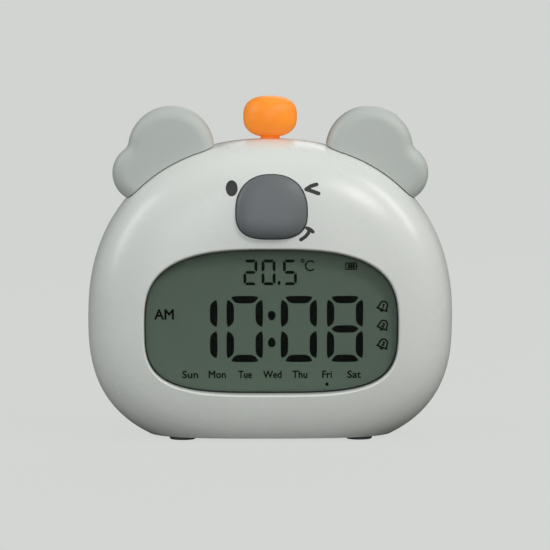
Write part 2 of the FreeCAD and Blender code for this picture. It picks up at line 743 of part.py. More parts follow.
def nose_cap():
    crown_base = NOSE_FACE_Y - (NOSE_PROUD - NOSE_CROWN)
    crown = NOSE.dome(crown_base, crown_base - NOSE_CROWN, NOSE_CROWN_SIDE_POWER, NOSE_CROWN_DEPTH_POWER)
    skirt = NOSE.prism(crown_base, NOSE_FLANGE_BACK_Y)
    flange_y = NOSE_FLANGE_BACK_Y - NOSE_FLANGE_THICK
    flange = NOSE.grown(NOSE_GAP + NOSE_FLANGE).prism(flange_y, NOSE_FLANGE_BACK_Y)
    hollow = NOSE.grown(-NOSE_WALL).prism(crown_base, NOSE_FLANGE_BACK_Y + 1.0)
    boss = rod(NOSE_BOSS_RADIUS, V(0, crown_base - NOSE_CROWN / 2, NOSE_CENTRE_Z),
               V(0, NOSE_PRESS_Y, NOSE_CENTRE_Z))
    cap = crown.fuse([skirt, flange]).cut(hollow)
    return tipped(merged(cap, [boss]))


def nose_board():
    board = box(-NOSE_BOARD_HALF_X, NOSE_BOARD_HALF_X, NOSE_BOARD_Y, NOSE_BOARD_Y + SMALL_BOARD,
                NOSE_CENTRE_Z - NOSE_BOARD_HALF_Z, NOSE_CENTRE_Z + NOSE_BOARD_HALF_Z)
    return tipped(board.cut(pilots_at(nose_post_places(NOSE_BOARD_Y + SMALL_BOARD), Y_AXIS, SCREW_DEPTH)))


def nose_board_screws():
    return tipped(screws_at(nose_post_places(NOSE_BOARD_Y + SMALL_BOARD), Y_AXIS, SCREW_DEPTH))


def on_nose_board(shape):
    return tipped(standing(shape, V(0, NOSE_BOARD_Y, NOSE_CENTRE_Z), -Y_AXIS))


def lamp_form():
    """The cap's outside: half of a superellipse turned about the neck's axis."""
    section = Outline(LAMP_HALF_X, LAMP_HALF_Z, LAMP_HALF_Z, LAMP_POWER, LAMP_POWER, LAMP_MID_Z)
    points = [section.point(math.pi * (i / LAMP_STEPS - 0.5), 0) for i in range(LAMP_STEPS + 1)]
    points[0].x = 0
    points[-1].x = 0
    curve = Part.BSplineCurve()
    curve.interpolate(points, InitialTangent=X_AXIS, FinalTangent=-X_AXIS)
    axis = Part.LineSegment(points[-1], points[0])
    face = Part.Face(Part.Wire([curve.toShape(), axis.toShape()]))
    solid = face.revolve(V(0, 0, 0), Z_AXIS, 360)
    solid.translate(V(0, LAMP_Y, 0))
    return solid


def lamp_rod(radius, low_z, high_z):
    return rod(radius, V(0, LAMP_Y, low_z), V(0, LAMP_Y, high_z))


def lamp_cap():
    neck = lamp_rod(NECK_RADIUS, COLLAR_BOTTOM_Z, LAMP_MID_Z - LAMP_HALF_Z / 2)
    core = lamp_rod(LAMP_CORE_RADIUS, LAMP_MID_Z - LAMP_CORE_HALF, LAMP_MID_Z + LAMP_CORE_HALF)
    bore = lamp_rod(NECK_BORE, COLLAR_BOTTOM_Z - 1.0, LAMP_MID_Z)
    return lamp_form().fuse(neck).cut([core, bore])


def lamp_collar():
    sleeve = lamp_rod(COLLAR_RADIUS, COLLAR_BOTTOM_Z, COLLAR_TOP_Z)
    flange = lamp_rod(COLLAR_FLANGE_RADIUS, COLLAR_BOTTOM_Z, COLLAR_BOTTOM_Z + COLLAR_FLANGE_THICK)
    hole = lamp_rod(NECK_RADIUS + COLLAR_FIT, COLLAR_BOTTOM_Z - 1.0, COLLAR_TOP_Z + 1.0)
    return merged(sleeve, [flange]).cut(hole)


def lamp_board():
    half_x = LAMP_POST_X + BOARD_MARGIN
    board = box(-half_x, half_x, LAMP_Y - LAMP_BOARD_HALF_Y, LAMP_Y + LAMP_BOARD_HALF_Y,
                LAMP_BOARD_Z - SMALL_BOARD, LAMP_BOARD_Z)
    return board.cut(pilots_at(lamp_post_places(LAMP_BOARD_Z - SMALL_BOARD), -Z_AXIS, SCREW_DEPTH))


def lamp_board_screws():
    return screws_at(lamp_post_places(LAMP_BOARD_Z - SMALL_BOARD), -Z_AXIS, SCREW_DEPTH)


def lamp_led():
    flange = lamp_rod(LAMP_LED_RADIUS + LAMP_LED_EDGE, LAMP_BOARD_Z, LAMP_BOARD_Z + 2 * LAMP_LED_EDGE)
    bulb_top = LAMP_BOARD_Z + LAMP_LED_HIGH - LAMP_LED_RADIUS
    bulb = lamp_rod(LAMP_LED_RADIUS, LAMP_BOARD_Z, bulb_top)
    tip = Part.makeSphere(LAMP_LED_RADIUS, V(0, LAMP_Y, bulb_top), Z_AXIS, 0, 90, 360)
    return merged(flange, [bulb, tip])


def on_lamp_board(shape):
    return standing(shape, V(LAMP_SWITCH_X, LAMP_Y, LAMP_BOARD_Z), Z_AXIS)


# The key row: each key stands on its switch, and each switch on the key board
KEY_XS = [KEY_STEP * (i - (KEY_COUNT - 1) / 2) for i in range(KEY_COUNT)]
KEY_FLANGE_BACK_Y = KEY_SEAT_Y - KEY_SEAT_GAP
KEY_PRESS_Y = KEY_FLANGE_BACK_Y - KEY_FLANGE_THICK - KEY_STEM_LENGTH
KEY_BOARD_Y = KEY_PRESS_Y - plunger_top(KEY_TRAVEL)


def key_post_places(y):
    return [V(side * KEY_POST_X, y, KEY_Z) for side in (-1, 1)]


def rear_key(x):
    cap = rod(KEY_RADIUS, V(x, KEY_FLANGE_BACK_Y, KEY_Z), V(x, BACK_Y + KEY_PROUD, KEY_Z))
    outer = [e for e in cap.Edges if abs(e.CenterOfMass.y - BACK_Y - KEY_PROUD) < 1e-3]
    cap = cap.makeChamfer(KEY_CHAMFER, outer)
    flange = rod(KEY_RADIUS + KEY_FLANGE, V(x, KEY_FLANGE_BACK_Y - KEY_FLANGE_THICK, KEY_Z),
                 V(x, KEY_FLANGE_BACK_Y, KEY_Z))
    stem = rod(KEY_STEM_RADIUS, V(x, KEY_PRESS_Y, KEY_Z), V(x, KEY_FLANGE_BACK_Y, KEY_Z))
    return merged(cap, [flange, stem])


def on_key_board(shape, x):
    return standing(shape, V(x, KEY_BOARD_Y, KEY_Z), Y_AXIS)


def key_board():
    half_x = KEY_POST_X + BOARD_MARGIN
    board = box(-half_x, half_x, KEY_BOARD_Y - SMALL_BOARD, KEY_BOARD_Y,
                KEY_Z - KEY_BOARD_HALF_Z, KEY_Z + KEY_BOARD_HALF_Z)
    return board.cut(pilots_at(key_post_places(KEY_BOARD_Y - SMALL_BOARD), -Y_AXIS, SCREW_DEPTH))


def key_board_screws():
    return screws_at(key_post_places(KEY_BOARD_Y - SMALL_BOARD), -Y_AXIS, SCREW_DEPTH)


def speaker_post_places(y):
    reach = SPEAKER_RADIUS + SPEAKER_FIT + SPEAKER_POST_RADIUS
    angles = [math.radians(a) for a in (90, 210, 330)]
    return [V(reach * math.cos(a), y, SPEAKER_Z + reach * math.sin(a)) for a in angles]


def turned_about_speaker(points):
    """Turns a section given as radius and Y about the loudspeaker's axis."""
    corners = [V(radius, y, SPEAKER_Z) for radius, y in points]
    face = Part.Face(Part.makePolygon(corners + corners[:1]))
    return face.revolve(V(0, 0, SPEAKER_Z), Y_AXIS, 360)


SPEAKER_BACK_Y = SPEAKER_SEAT_Y - SPEAKER_FLANGE
BASKET_BACK_Y = SPEAKER_SEAT_Y - SPEAKER_BASKET_DEPTH


def speaker_frame():
    return turned_about_speaker([
        (CONE_SEAT, SPEAKER_SEAT_Y), (SPEAKER_RADIUS, SPEAKER_SEAT_Y), (SPEAKER_RADIUS, SPEAKER_BACK_Y),
        (CONE_SEAT, SPEAKER_BACK_Y - CONE_THICK), (SPEAKER_BASKET_RADIUS, BASKET_BACK_Y),
        (CONE_THROAT, BASKET_BACK_Y), (CONE_THROAT, BASKET_BACK_Y + CONE_THICK),
        (SPEAKER_BASKET_RADIUS - 1, BASKET_BACK_Y + CONE_THICK), (CONE_EDGE, SPEAKER_BACK_Y),
        (CONE_SEAT, SPEAKER_BACK_Y)])


def speaker_cone():
    front = SPEAKER_BACK_Y + CONE_THICK
    return turned_about_speaker([
        (0, front - CONE_DEPTH), (CONE_THROAT - 1, front - CONE_DEPTH + 1), (CONE_EDGE - 1, front),
        (CONE_SEAT - CONE_THICK, front), (CONE_SEAT - CONE_THICK, front - CONE_THICK),
        (CONE_EDGE, front - CONE_THICK), (CONE_THROAT - 1, front - CONE_DEPTH),
        (0, front - CONE_DEPTH - CONE_THICK)])


def speaker_magnet():
    back = BASKET_BACK_Y - SPEAKER_MAGNET_THICK
    return rod(SPEAKER_MAGNET_RADIUS, V(0, back, SPEAKER_Z), V(0, BASKET_BACK_Y, SPEAKER_Z))


def speaker_screws():
    return screws_at(speaker_post_places(SPEAKER_BACK_Y), -Y_AXIS, SCREW_DEPTH - 2.0)


def grille_slots():
    slots = []
    for i in range(GRILLE_ROWS):
        z = GRILLE_STEP * (i - (GRILLE_ROWS - 1) / 2)
        half = math.sqrt(GRILLE_RADIUS ** 2 - z ** 2) - GRILLE_SLOT / 2
        middle = box(-half, half, SPEAKER_SEAT_Y, BACK_Y + 1.0,
                     SPEAKER_Z + z - GRILLE_SLOT / 2, SPEAKER_Z + z + GRILLE_SLOT / 2)
        ends = [rod(GRILLE_SLOT / 2, V(x, SPEAKER_SEAT_Y, SPEAKER_Z + z), V(x, BACK_Y + 1.0, SPEAKER_Z + z))
                for x in (-half, half)]
        slots.append(merged(middle, ends))
    return slots


def stadium(half_x, half_z, z, y_from, y_to):
    """A slot shape with fully rounded ends, long along X."""
    middle = box(half_z - half_x, half_x - half_z, y_from, y_to, z - half_z, z + half_z)
    ends = [rod(half_z, V(x, y_from, z), V(x, y_to, z)) for x in (half_z - half_x, half_x - half_z)]
    return merged(middle, ends)


USB_FACE_Y = BACK_Y - USB_SINK
USB_BACK_Y = USB_FACE_Y - USB_LENGTH
CHARGE_TOP_Z = USB_Z - USB_HALF_Z
CHARGE_BACK_Y = BACK_Y - WALL - CHARGE_RIB_GAP
CHARGE_FRONT_Y = CHARGE_BACK_Y - CHARGE_LENGTH


def usb_socket():
    shell = stadium(USB_HALF_X, USB_HALF_Z, USB_Z, USB_BACK_Y, USB_FACE_Y)
    mouth = stadium(USB_HALF_X - USB_SHELL, USB_HALF_Z - USB_SHELL, USB_Z, USB_BACK_Y + 1.0, USB_FACE_Y + 1.0)
    tongue = box(-USB_TONGUE_HALF_X, USB_TONGUE_HALF_X, USB_BACK_Y, USB_FACE_Y - 1.0,
                 USB_Z - USB_TONGUE_HALF_Z, USB_Z + USB_TONGUE_HALF_Z)
    return merged(shell.cut(mouth), [tongue])


def charge_screw_places(z):
    return [V(side * CHARGE_RIB_X, CHARGE_FRONT_Y + BOARD_MARGIN, z) for side in (-1, 1)]


def charge_board():
    board = box(-CHARGE_HALF_X, CHARGE_HALF_X, CHARGE_FRONT_Y, CHARGE_BACK_Y,
                CHARGE_TOP_Z - SMALL_BOARD, CHARGE_TOP_Z)
    return board.cut(pilots_at(charge_screw_places(CHARGE_TOP_Z), Z_AXIS, SCREW_DEPTH))


def charge_board_screws():
    return screws_at(charge_screw_places(CHARGE_TOP_Z), Z_AXIS, SMALL_BOARD + CHARGE_RIB_HIGH / 2)


def charge_ribs():
    top = CHARGE_TOP_Z - SMALL_BOARD
    return [box(side * CHARGE_RIB_X - CHARGE_RIB_HALF, side * CHARGE_RIB_X + CHARGE_RIB_HALF,
                CHARGE_FRONT_Y, BACK_Y, top - CHARGE_RIB_HIGH, top) for side in (-1, 1)]


def joint_lip():
    """A thin wall round the cover's edge, which centres it in the rebate of the front housing."""
    inset = WALL - LIP_THICK
    outer = above(BODY.grown(-inset).prism(JOINT_Y - LIP_HEIGHT, JOINT_Y), FOOT_HEIGHT + inset)
    inner = above(BODY.grown(-WALL).prism(JOINT_Y - LIP_HEIGHT - 1.0, JOINT_Y + 1.0), FOOT_HEIGHT + WALL)
    return outer.cut(inner)


def joint_rebate():
    inset = WALL - LIP_THICK - LIP_GAP
    bottom_y = JOINT_Y - LIP_HEIGHT - LIP_GAP
    return above(BODY.grown(-inset).prism(bottom_y, JOINT_Y + 1.0), FOOT_HEIGHT + inset)


def joint_groove():
    """The shadow line round the joint."""
    outer = BODY.grown(2.0).prism(JOINT_Y, JOINT_Y + GROOVE_WIDTH)
    return outer.cut(BODY.grown(-GROOVE_DEPTH).prism(JOINT_Y - 1.0, JOINT_Y + GROOVE_WIDTH + 1.0))


def rear_cover():
    cover = back_form(0).cut(back_form(WALL))
    bosses = [rod(COUNTERBORE_RADIUS + COUNTERBORE_WALL, place, V(place.x, BACK_Y, place.z))
              for place in cover_post_places(JOINT_Y)]
    bosses += [rod(KEY_POST_RADIUS, place, V(place.x, BACK_Y, place.z))
               for place in key_post_places(KEY_BOARD_Y)]
    bosses += [rod(KEY_RADIUS + 2 * KEY_FLANGE, V(x, KEY_SEAT_Y, KEY_Z), V(x, BACK_Y, KEY_Z)) for x in KEY_XS]
    bosses += [rod(SPEAKER_POST_RADIUS, place, V(place.x, BACK_Y, place.z))
               for place in speaker_post_places(SPEAKER_BACK_Y)]
    ring_radius = SPEAKER_RADIUS + SPEAKER_FIT
    ring = rod(ring_radius + SPEAKER_RING, V(0, SPEAKER_BACK_Y, SPEAKER_Z), V(0, BACK_Y, SPEAKER_Z))
    mouth_radius = CONE_SEAT - SPEAKER_RING
    ring = ring.cut(rod(mouth_radius, V(0, SPEAKER_BACK_Y - 1.0, SPEAKER_Z), V(0, BACK_Y, SPEAKER_Z)))
    inner = bosses + [ring] + charge_ribs()
    cover = cover.fuse([piece.common(BACK_TRIM) for piece in inner])
    cover = cover.fuse(joint_lip())

    cuts = [joint_groove()]
    cuts.append(rod(ring_radius, V(0, SPEAKER_BACK_Y - 1.0, SPEAKER_Z), V(0, SPEAKER_SEAT_Y, SPEAKER_Z)))
    cuts += grille_slots()
    for place in cover_post_places(JOINT_Y):
        floor = V(place.x, JOINT_Y + COUNTERBORE_FLOOR, place.z)
        cuts.append(rod(COVER_SHANK + SCREW_CLEAR, place - V(0, 1.0, 0), floor))
        cuts.append(rod(COUNTERBORE_RADIUS, floor, V(place.x, BACK_Y + 1.0, place.z)))
    cuts += [rod(KEY_RADIUS + KEY_GAP, V(x, KEY_SEAT_Y - 1.0, KEY_Z), V(x, BACK_Y + 1.0, KEY_Z))
             for x in KEY_XS]
    flange_radius = KEY_RADIUS + KEY_FLANGE + KEY_GAP
    cuts += [rod(flange_radius, V(x, KEY_PRESS_Y, KEY_Z), V(x, KEY_SEAT_Y, KEY_Z)) for x in KEY_XS]
    cuts += pilots_at(key_post_places(KEY_BOARD_Y), -Y_AXIS, SCREW_DEPTH)
    cuts += pilots_at(speaker_post_places(SPEAKER_BACK_Y), -Y_AXIS, SCREW_DEPTH - 1.5)
    cuts += pilots_at(charge_screw_places(CHARGE_TOP_Z), Z_AXIS, SMALL_BOARD + CHARGE_RIB_HIGH)
    cuts.append(stadium(USB_HALF_X + USB_GAP, USB_HALF_Z + USB_GAP, USB_Z, CHARGE_BACK_Y, BACK_Y + 1.0))
    cuts += foot_recesses()
    return cover.cut(cuts)


def cover_screws():
    one = screw(COUNTERBORE_FLOOR + COVER_DEPTH, COVER_SHANK, COVER_HEAD, COVER_HEAD_HIGH)
    places = cover_post_places(JOINT_Y + COUNTERBORE_FLOOR)
    return Part.makeCompound([standing(one, place, Y_AXIS) for place in places])


def rubber_feet():
    feet = []
    for place in foot_places(0):
        foot = rod(FOOT_RADIUS, place, place + V(0, 0, FOOT_HEIGHT + FOOT_SINK))
        rim = [e for e in foot.Edges if abs(e.CenterOfMass.z) < 1e-3]
        feet.append(foot.makeChamfer(FOOT_CHAMFER, rim))
    return Part.makeCompound(feet)


def battery_cell():
    half = CELL_LENGTH / 2
    can = rod(CELL_RADIUS, V(-half, CELL_Y, CELL_Z), V(half - CELL_CAP_HIGH, CELL_Y, CELL_Z))
    return merged(can, [rod(CELL_CAP_RADIUS, V(0, CELL_Y, CELL_Z), V(half, CELL_Y, CELL_Z))])


def battery_cradle():
    floor_z = FOOT_HEIGHT + WALL
    half_y = CELL_RADIUS + CRADLE_SIDE
    half_x = CRADLE_SADDLE_X + CRADLE_SADDLE_THICK
    plate = box(-half_x, half_x, CELL_Y - half_y / 2, CELL_Y + half_y / 2, floor_z, floor_z + CRADLE_FLOOR / 2)
    saddles = [box(x, x + CRADLE_SADDLE_THICK, CELL_Y - half_y, CELL_Y + half_y, floor_z, floor_z + CRADLE_HIGH)
               for x in (-half_x, CRADLE_SADDLE_X)]
    trough = rod(CELL_RADIUS + CELL_FIT, V(-FAR, CELL_Y, CELL_Z), V(FAR, CELL_Y, CELL_Z))
    return merged(plate, saddles).cut(trough)


def parts():
    """Every node by name."""
    made = {
        "front_shell": front_shell(),
        "rear_cover": rear_cover(),
        "window_lens": window_lens(),
        "lcd_gasket": lcd_gasket(),
        "lcd_panel": lcd_panel(),
        "lcd_diffuser": lcd_diffuser(),
        "light_guide": light_guide(),
        "lcd_reflector": lcd_reflector(),
        "backlight_leds": backlight_leds(),
        "zebra_strip": zebra_strip(),
        "lcd_holder": lcd_holder(),
        "main_board": main_board(),
        "board_components": board_components(),
        "board_screws": board_screws(),
        "nose_cap": nose_cap(),
        "nose_switch_plunger": on_nose_board(switch_plunger(NOSE_TRAVEL)),
        "nose_switch_body": on_nose_board(switch_body()),
        "nose_board": nose_board(),
        "nose_board_screws": nose_board_screws(),
        "lamp_cap": lamp_cap(),
        "lamp_collar": lamp_collar(),
        "lamp_switch_plunger": on_lamp_board(switch_plunger(LAMP_TRAVEL)),
        "lamp_switch_body": on_lamp_board(switch_body()),
        "lamp_led": lamp_led(),
        "lamp_board": lamp_board(),
        "lamp_board_screws": lamp_board_screws(),
        "right_ear": ear(),
        "right_ear_plate": ear_plate(),
        "key_board": key_board(),
        "key_board_screws": key_board_screws(),
        "key_switch_bodies": Part.makeCompound([on_key_board(switch_body(), x) for x in KEY_XS]),
        "speaker_frame": speaker_frame(),
        "speaker_cone": speaker_cone(),
        "speaker_magnet": speaker_magnet(),
        "speaker_screws": speaker_screws(),
        "usb_socket": usb_socket(),
        "charge_board": charge_board(),
        "charge_board_screws": charge_board_screws(),
        "battery_cell": battery_cell(),
        "battery_cradle": battery_cradle(),
        "rubber_feet": rubber_feet(),
        "cover_screws": cover_screws(),
    }
    made["left_ear"] = mirrored(made["right_ear"])
    made["left_ear_plate"] = mirrored(made["right_ear_plate"])
    right_screws = on_ear(screws_at(ear_screw_places(), V(0, 0, -1), SCREW_DEPTH))
    made["ear_screws"] = Part.makeCompound(right_screws.Solids + mirrored(right_screws).Solids)
    for number, x in enumerate(KEY_XS, 1):
        made[f"rear_key_{number}"] = rear_key(x)
        made[f"key_plunger_{number}"] = on_key_board(switch_plunger(KEY_TRAVEL), x)
    return made


os.makedirs("parts", exist_ok=True)
for name, shape in parts().items():
    shape.exportStep(f"parts/{name}.step")
    print(name, len(shape.Solids), "solids,", round(shape.Volume), "mm3, valid", shape.isValid())
print("nose tilt", round(NOSE_TILT, 2), "degrees, face at nose", round(NOSE_FACE_Y, 2))
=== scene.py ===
# %% [markdown]
# # Kids alarm clock with a night light
# The object is a bedside clock moulded as an animal's head: a white domed body, a display behind a
# clear window, a grey nose that is a button, two ears and an orange lamp cap on a short neck.
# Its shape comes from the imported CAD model, which is loaded here as a fixed frame. This script adds
# what a CAD solid doesn't carry: finishes, printed ink, the segments of the display and the small marks.

# %% Load the frame
import math
from collections import Counter

import bmesh
import bpy
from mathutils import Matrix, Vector
from mathutils.bvhtree import BVHTree
from mathutils.geometry import barycentric_transform


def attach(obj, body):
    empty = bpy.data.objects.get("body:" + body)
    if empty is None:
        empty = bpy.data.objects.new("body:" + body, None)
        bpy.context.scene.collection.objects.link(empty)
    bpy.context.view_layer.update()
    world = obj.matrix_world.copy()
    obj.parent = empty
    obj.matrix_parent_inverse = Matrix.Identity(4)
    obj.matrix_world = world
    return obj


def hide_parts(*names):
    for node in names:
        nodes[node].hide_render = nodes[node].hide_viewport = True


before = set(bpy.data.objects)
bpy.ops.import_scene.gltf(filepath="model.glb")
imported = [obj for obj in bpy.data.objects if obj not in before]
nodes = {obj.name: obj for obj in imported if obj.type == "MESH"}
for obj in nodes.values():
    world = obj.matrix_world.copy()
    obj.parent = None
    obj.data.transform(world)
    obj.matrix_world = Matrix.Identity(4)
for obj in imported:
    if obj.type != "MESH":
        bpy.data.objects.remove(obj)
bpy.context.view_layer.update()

# %% [markdown]
# Lengths below are written in millimetres, because that is how a clock is measured, and are turned
# into Blender's metres at one place. Colours are written as they look on a screen, from 0 to 255,
# and are turned into the linear values that shaders need.

# %% Units, colours and objects
MM = 0.001


def place(x, y, z):
    """A point given in millimetres."""
    return Vector((x, y, z)) * MM


def tint(red, green, blue):
    """A screen colour as linear red, green, blue and alpha."""
    linear = []
    for value in (red, green, blue):
        share = value / 255
        linear.append(share / 12.92 if share <= 0.04045 else ((share + 0.055) / 1.055) ** 2.4)
    return (*linear, 1.0)


def in_scene(name, data):
    """A new object in the scene."""
    thing = bpy.data.objects.new(name, data)
    bpy.context.scene.collection.objects.link(thing)
    return thing


print("a mid grey in linear light", round(tint(128, 128, 128)[0], 3))

# %% [markdown]
# The camera stands a little to the left and a little above, far away with a long lens, so the body
# keeps almost parallel sides. It aims at a point beside the middle of the body, which sets the body
# as far off the picture's centre as it should be, with no lens shift.

# %% Camera
PICTURE_SIDE = 550
FOCAL_PIXELS = 2612
SENSOR_WIDTH = 36.0
CAMERA_AZIMUTH = -1.1
CAMERA_ELEVATION = 4.0
CAMERA_DISTANCE = 900
CAMERA_AIM = place(1.65, 0, 54.9)
CLIP_DISTANCES = (0.05, 20)


def compass(azimuth, elevation):
    """The direction from the object to someone who looks at it from that side."""
    turn = math.radians(azimuth)
    rise = math.radians(elevation)
    return Vector((math.sin(turn) * math.cos(rise), -math.cos(turn) * math.cos(rise), math.sin(rise)))


def look_at(thing, target):
    thing.rotation_euler = (target - thing.location).to_track_quat("-Z", "Y").to_euler()


camera = in_scene("camera", bpy.data.cameras.new("camera"))
camera.data.sensor_width = SENSOR_WIDTH
camera.data.lens = FOCAL_PIXELS / PICTURE_SIDE * SENSOR_WIDTH
camera.data.clip_start, camera.data.clip_end = CLIP_DISTANCES
camera.location = CAMERA_AIM + compass(CAMERA_AZIMUTH, CAMERA_ELEVATION) * CAMERA_DISTANCE * MM
look_at(camera, CAMERA_AIM)
bpy.context.scene.camera = camera
bpy.context.scene.view_settings.view_transform = "Standard"
print("lens", round(camera.data.lens, 1), "mm")

# %% [markdown]
# Soft daylight comes from the front, as from a large window. A smaller lamp at the upper right
# models the dome, and two narrow upright ones at the sides draw the long highlights that a satin
# plastic shows along its edges. A weak one above and one behind keep the top and the back from
# going dark.

# %% Lamps
LIGHT_TARGET = place(0, 0, 50)
# Name, azimuth and elevation in degrees, distance, width and height in metres, watts and colour.
LAMPS = (
    ("light_above", 8, 66, 1.3, 1.1, 0.9, 0.5, tint(255, 253, 250)),
    ("light_right", 36, 38, 1.3, 0.36, 0.3, 4.4, tint(255, 253, 250)),
    ("light_front", -4, 10, 1.8, 1.2, 1.2, 9.9, tint(250, 252, 255)),
    ("light_edge", 78, 40, 1.3, 0.22, 0.7, 4.2, tint(255, 254, 252)),
    ("light_left", -80, 30, 1.3, 0.3, 0.7, 4.1, tint(250, 252, 255)),
    ("light_back", 168, 34, 1.8, 0.9, 0.9, 3.6, tint(252, 253, 255)))

for name, azimuth, elevation, distance, width, height, watts, colour in LAMPS:
    data = bpy.data.lights.new(name, "AREA")
    data.shape = "RECTANGLE"
    data.size = width
    data.size_y = height
    data.energy = watts
    data.color = colour[:3]
    lamp = in_scene(name, data)
    lamp.location = LIGHT_TARGET + compass(azimuth, elevation) * distance
    look_at(lamp, LIGHT_TARGET)
print("lamps", [row[0] for row in LAMPS])

# %% [markdown]
# Materials and the world are built from nodes. These helpers keep that short: one adds a node, one
# sets its constant inputs, one links a socket or sets it where a number or a colour is given, and
# the rest are small patterns that come up again and again.

# %% Helpers for nodes
def add(tree, kind, **settings):
    """A shader node with its settings."""
    node = tree.nodes.new("ShaderNode" + kind)
    for key, value in settings.items():
        setattr(node, key, value)
    return node


def feed(node, **values):
    """Sets constant inputs. A space in an input's name is written as an underscore."""
    for label, value in values.items():
        node.inputs[label.replace("_", " ")].default_value = value
    return node


def wire(tree, source, target):
    if isinstance(source, (int, float, tuple)):
        target.default_value = source
    else:
        tree.links.new(source, target)


def noise(tree, vector, scale, detail, roughness=0.5):
    node = feed(add(tree, "TexNoise"), Detail=detail, Roughness=roughness)
    wire(tree, vector, node.inputs["Vector"])
    wire(tree, scale, node.inputs["Scale"])
    return node.outputs["Fac"]


def math_node(tree, operation, a, b):
    node = add(tree, "Math", operation=operation)
    wire(tree, a, node.inputs[0])
    wire(tree, b, node.inputs[1])
    return node.outputs[0]


def ramp(tree, value, low, high):
    """Value stretched so that low becomes 0 and high becomes 1, and cut off outside."""
    node = feed(add(tree, "MapRange", clamp=True), From_Min=low, From_Max=high)
    wire(tree, value, node.inputs["Value"])
    return node.outputs["Result"]


def blend_colour(tree, share, first, second):
    node = add(tree, "Mix", data_type="RGBA")
    wire(tree, share, node.inputs["Factor"])
    colour_inputs = [s for s in node.inputs if s.type == "RGBA"]
    for socket, value in zip(colour_inputs, (first, second)):
        wire(tree, value, socket)
    return [s for s in node.outputs if s.type == "RGBA"][0]


def mix_shaders(tree, share, first, second):
    """Sends the first node's shader to the tree's output, and a share of the second over it."""
    choose = add(tree, "MixShader")
    for socket, source in zip(choose.inputs, (share, first.outputs[0], second.outputs[0])):
        wire(tree, source, socket)
    output = [node for node in tree.nodes if node.type.startswith("OUTPUT")][0]
    wire(tree, choose.outputs[0], output.inputs["Surface"])


print("node helpers ready")

# %% [markdown]
# The world is a pale sky. What the camera sees of it is bright, and the light that it gives off to
# fill the shadows is dimmer.

# %% World
WORLD_FILL = tint(214, 222, 222)
WORLD_SEEN = tint(226, 231, 228)
WORLD_STRENGTH = 0.43

world = bpy.data.worlds.new("studio")
world.use_nodes = True
bpy.context.scene.world = world
tree = world.node_tree
tree.nodes.clear()
fill_light = feed(add(tree, "Background"), Color=WORLD_FILL, Strength=WORLD_STRENGTH)
seen_light = feed(add(tree, "Background"), Color=WORLD_SEEN, Strength=1.0)
add(tree, "OutputWorld")
mix_shaders(tree, add(tree, "LightPath").outputs["Is Camera Ray"], fill_light, seen_light)
print("world nodes", len(tree.nodes))

# %% [markdown]
# A finish is built from a few effects that repeat: the fine spark-eroded grain of a mould, the slow
# drift of tone in a large moulding, smudges that change the gloss, edges that are rubbed by hands,
# and dust that settles on what looks up. Each is a shader node group, made once, which every
# material places with its own values.

# %% Starting a node group
def new_group(name, output, kind, **inputs):
    """A group with a vector, other named inputs and one output. Returns its tree, inputs and output."""
    tree = bpy.data.node_groups.new(name, "ShaderNodeTree")
    sockets = tree.interface
    sockets.new_socket(name="Vector", in_out="INPUT", socket_type="NodeSocketVector")
    for label, value in inputs.items():
        value_type = "NodeSocketColor" if isinstance(value, tuple) else "NodeSocketFloat"
        socket = sockets.new_socket(name=label.replace("_", " "), in_out="INPUT", socket_type=value_type)
        socket.default_value = value
    sockets.new_socket(name=output, in_out="OUTPUT", socket_type="NodeSocket" + kind)
    given = tree.nodes.new("NodeGroupInput").outputs
    return tree, given, tree.nodes.new("NodeGroupOutput").inputs[output]


print("a group starts with its inputs and its output")

# %% [markdown]
# The grain of a moulding is a relief of a few hundredths of a millimetre. It is the sum of a fine
# noise and an even finer one, and it goes to the height of a bump node, because real geometry that
# small would need millions of faces.

# %% Mould grain
FINER_GRAIN = 2.7
tree, given, height = new_group("mould_grain", "Height", "Float", Scale=3000.0)
coarse = noise(tree, given["Vector"], given["Scale"], 2.0)
finer = noise(tree, given["Vector"], math_node(tree, "MULTIPLY", given["Scale"], FINER_GRAIN), 1.0)
wire(tree, math_node(tree, "ADD", coarse, finer), height)
print("made", tree.name)

# %% [markdown]
# A large moulding is never one even colour: it drifts by a percent or two where the plastic flowed.
# A slow noise blends the finish's colour with a slightly different one.

# %% Tone drift
tree, given, colour = new_group("tone_drift", "Color", "Color", Scale=30.0, Color=(0.8, 0.8, 0.8, 1),
                                Other_Color=(0.7, 0.7, 0.7, 1))
drift = ramp(tree, noise(tree, given["Vector"], given["Scale"], 3.0), 0.3, 0.7)
wire(tree, blend_colour(tree, drift, given["Color"], given["Other Color"]), colour)
print("made", tree.name)

# %% [markdown]
# Hands leave faint smudges that change the gloss more than the colour. Two noises of different size
# are multiplied, so that smudges come in patches.

# %% Handled gloss
FINER_STREAKS = 9.0
tree, given, roughness = new_group("handled_gloss", "Roughness", "Float", Scale=40.0, Low=0.4, High=0.5)
patches = ramp(tree, noise(tree, given["Vector"], given["Scale"], 2.0), 0.35, 0.65)
streaks = noise(tree, given["Vector"], math_node(tree, "MULTIPLY", given["Scale"], FINER_STREAKS), 4.0, 0.65)
span = math_node(tree, "SUBTRACT", given["High"], given["Low"])
rise = math_node(tree, "MULTIPLY", math_node(tree, "MULTIPLY", patches, streaks), span)
wire(tree, math_node(tree, "ADD", rise, given["Low"]), roughness)
print("made", tree.name)

# %% [markdown]
# Edges are where a moulding is touched and rubbed. A bevel node gives the normal that a rounded edge
# would have, and where that differs from the true normal there is an edge, so their difference is
# the mask. Noise breaks the mask up, since wear is never even.

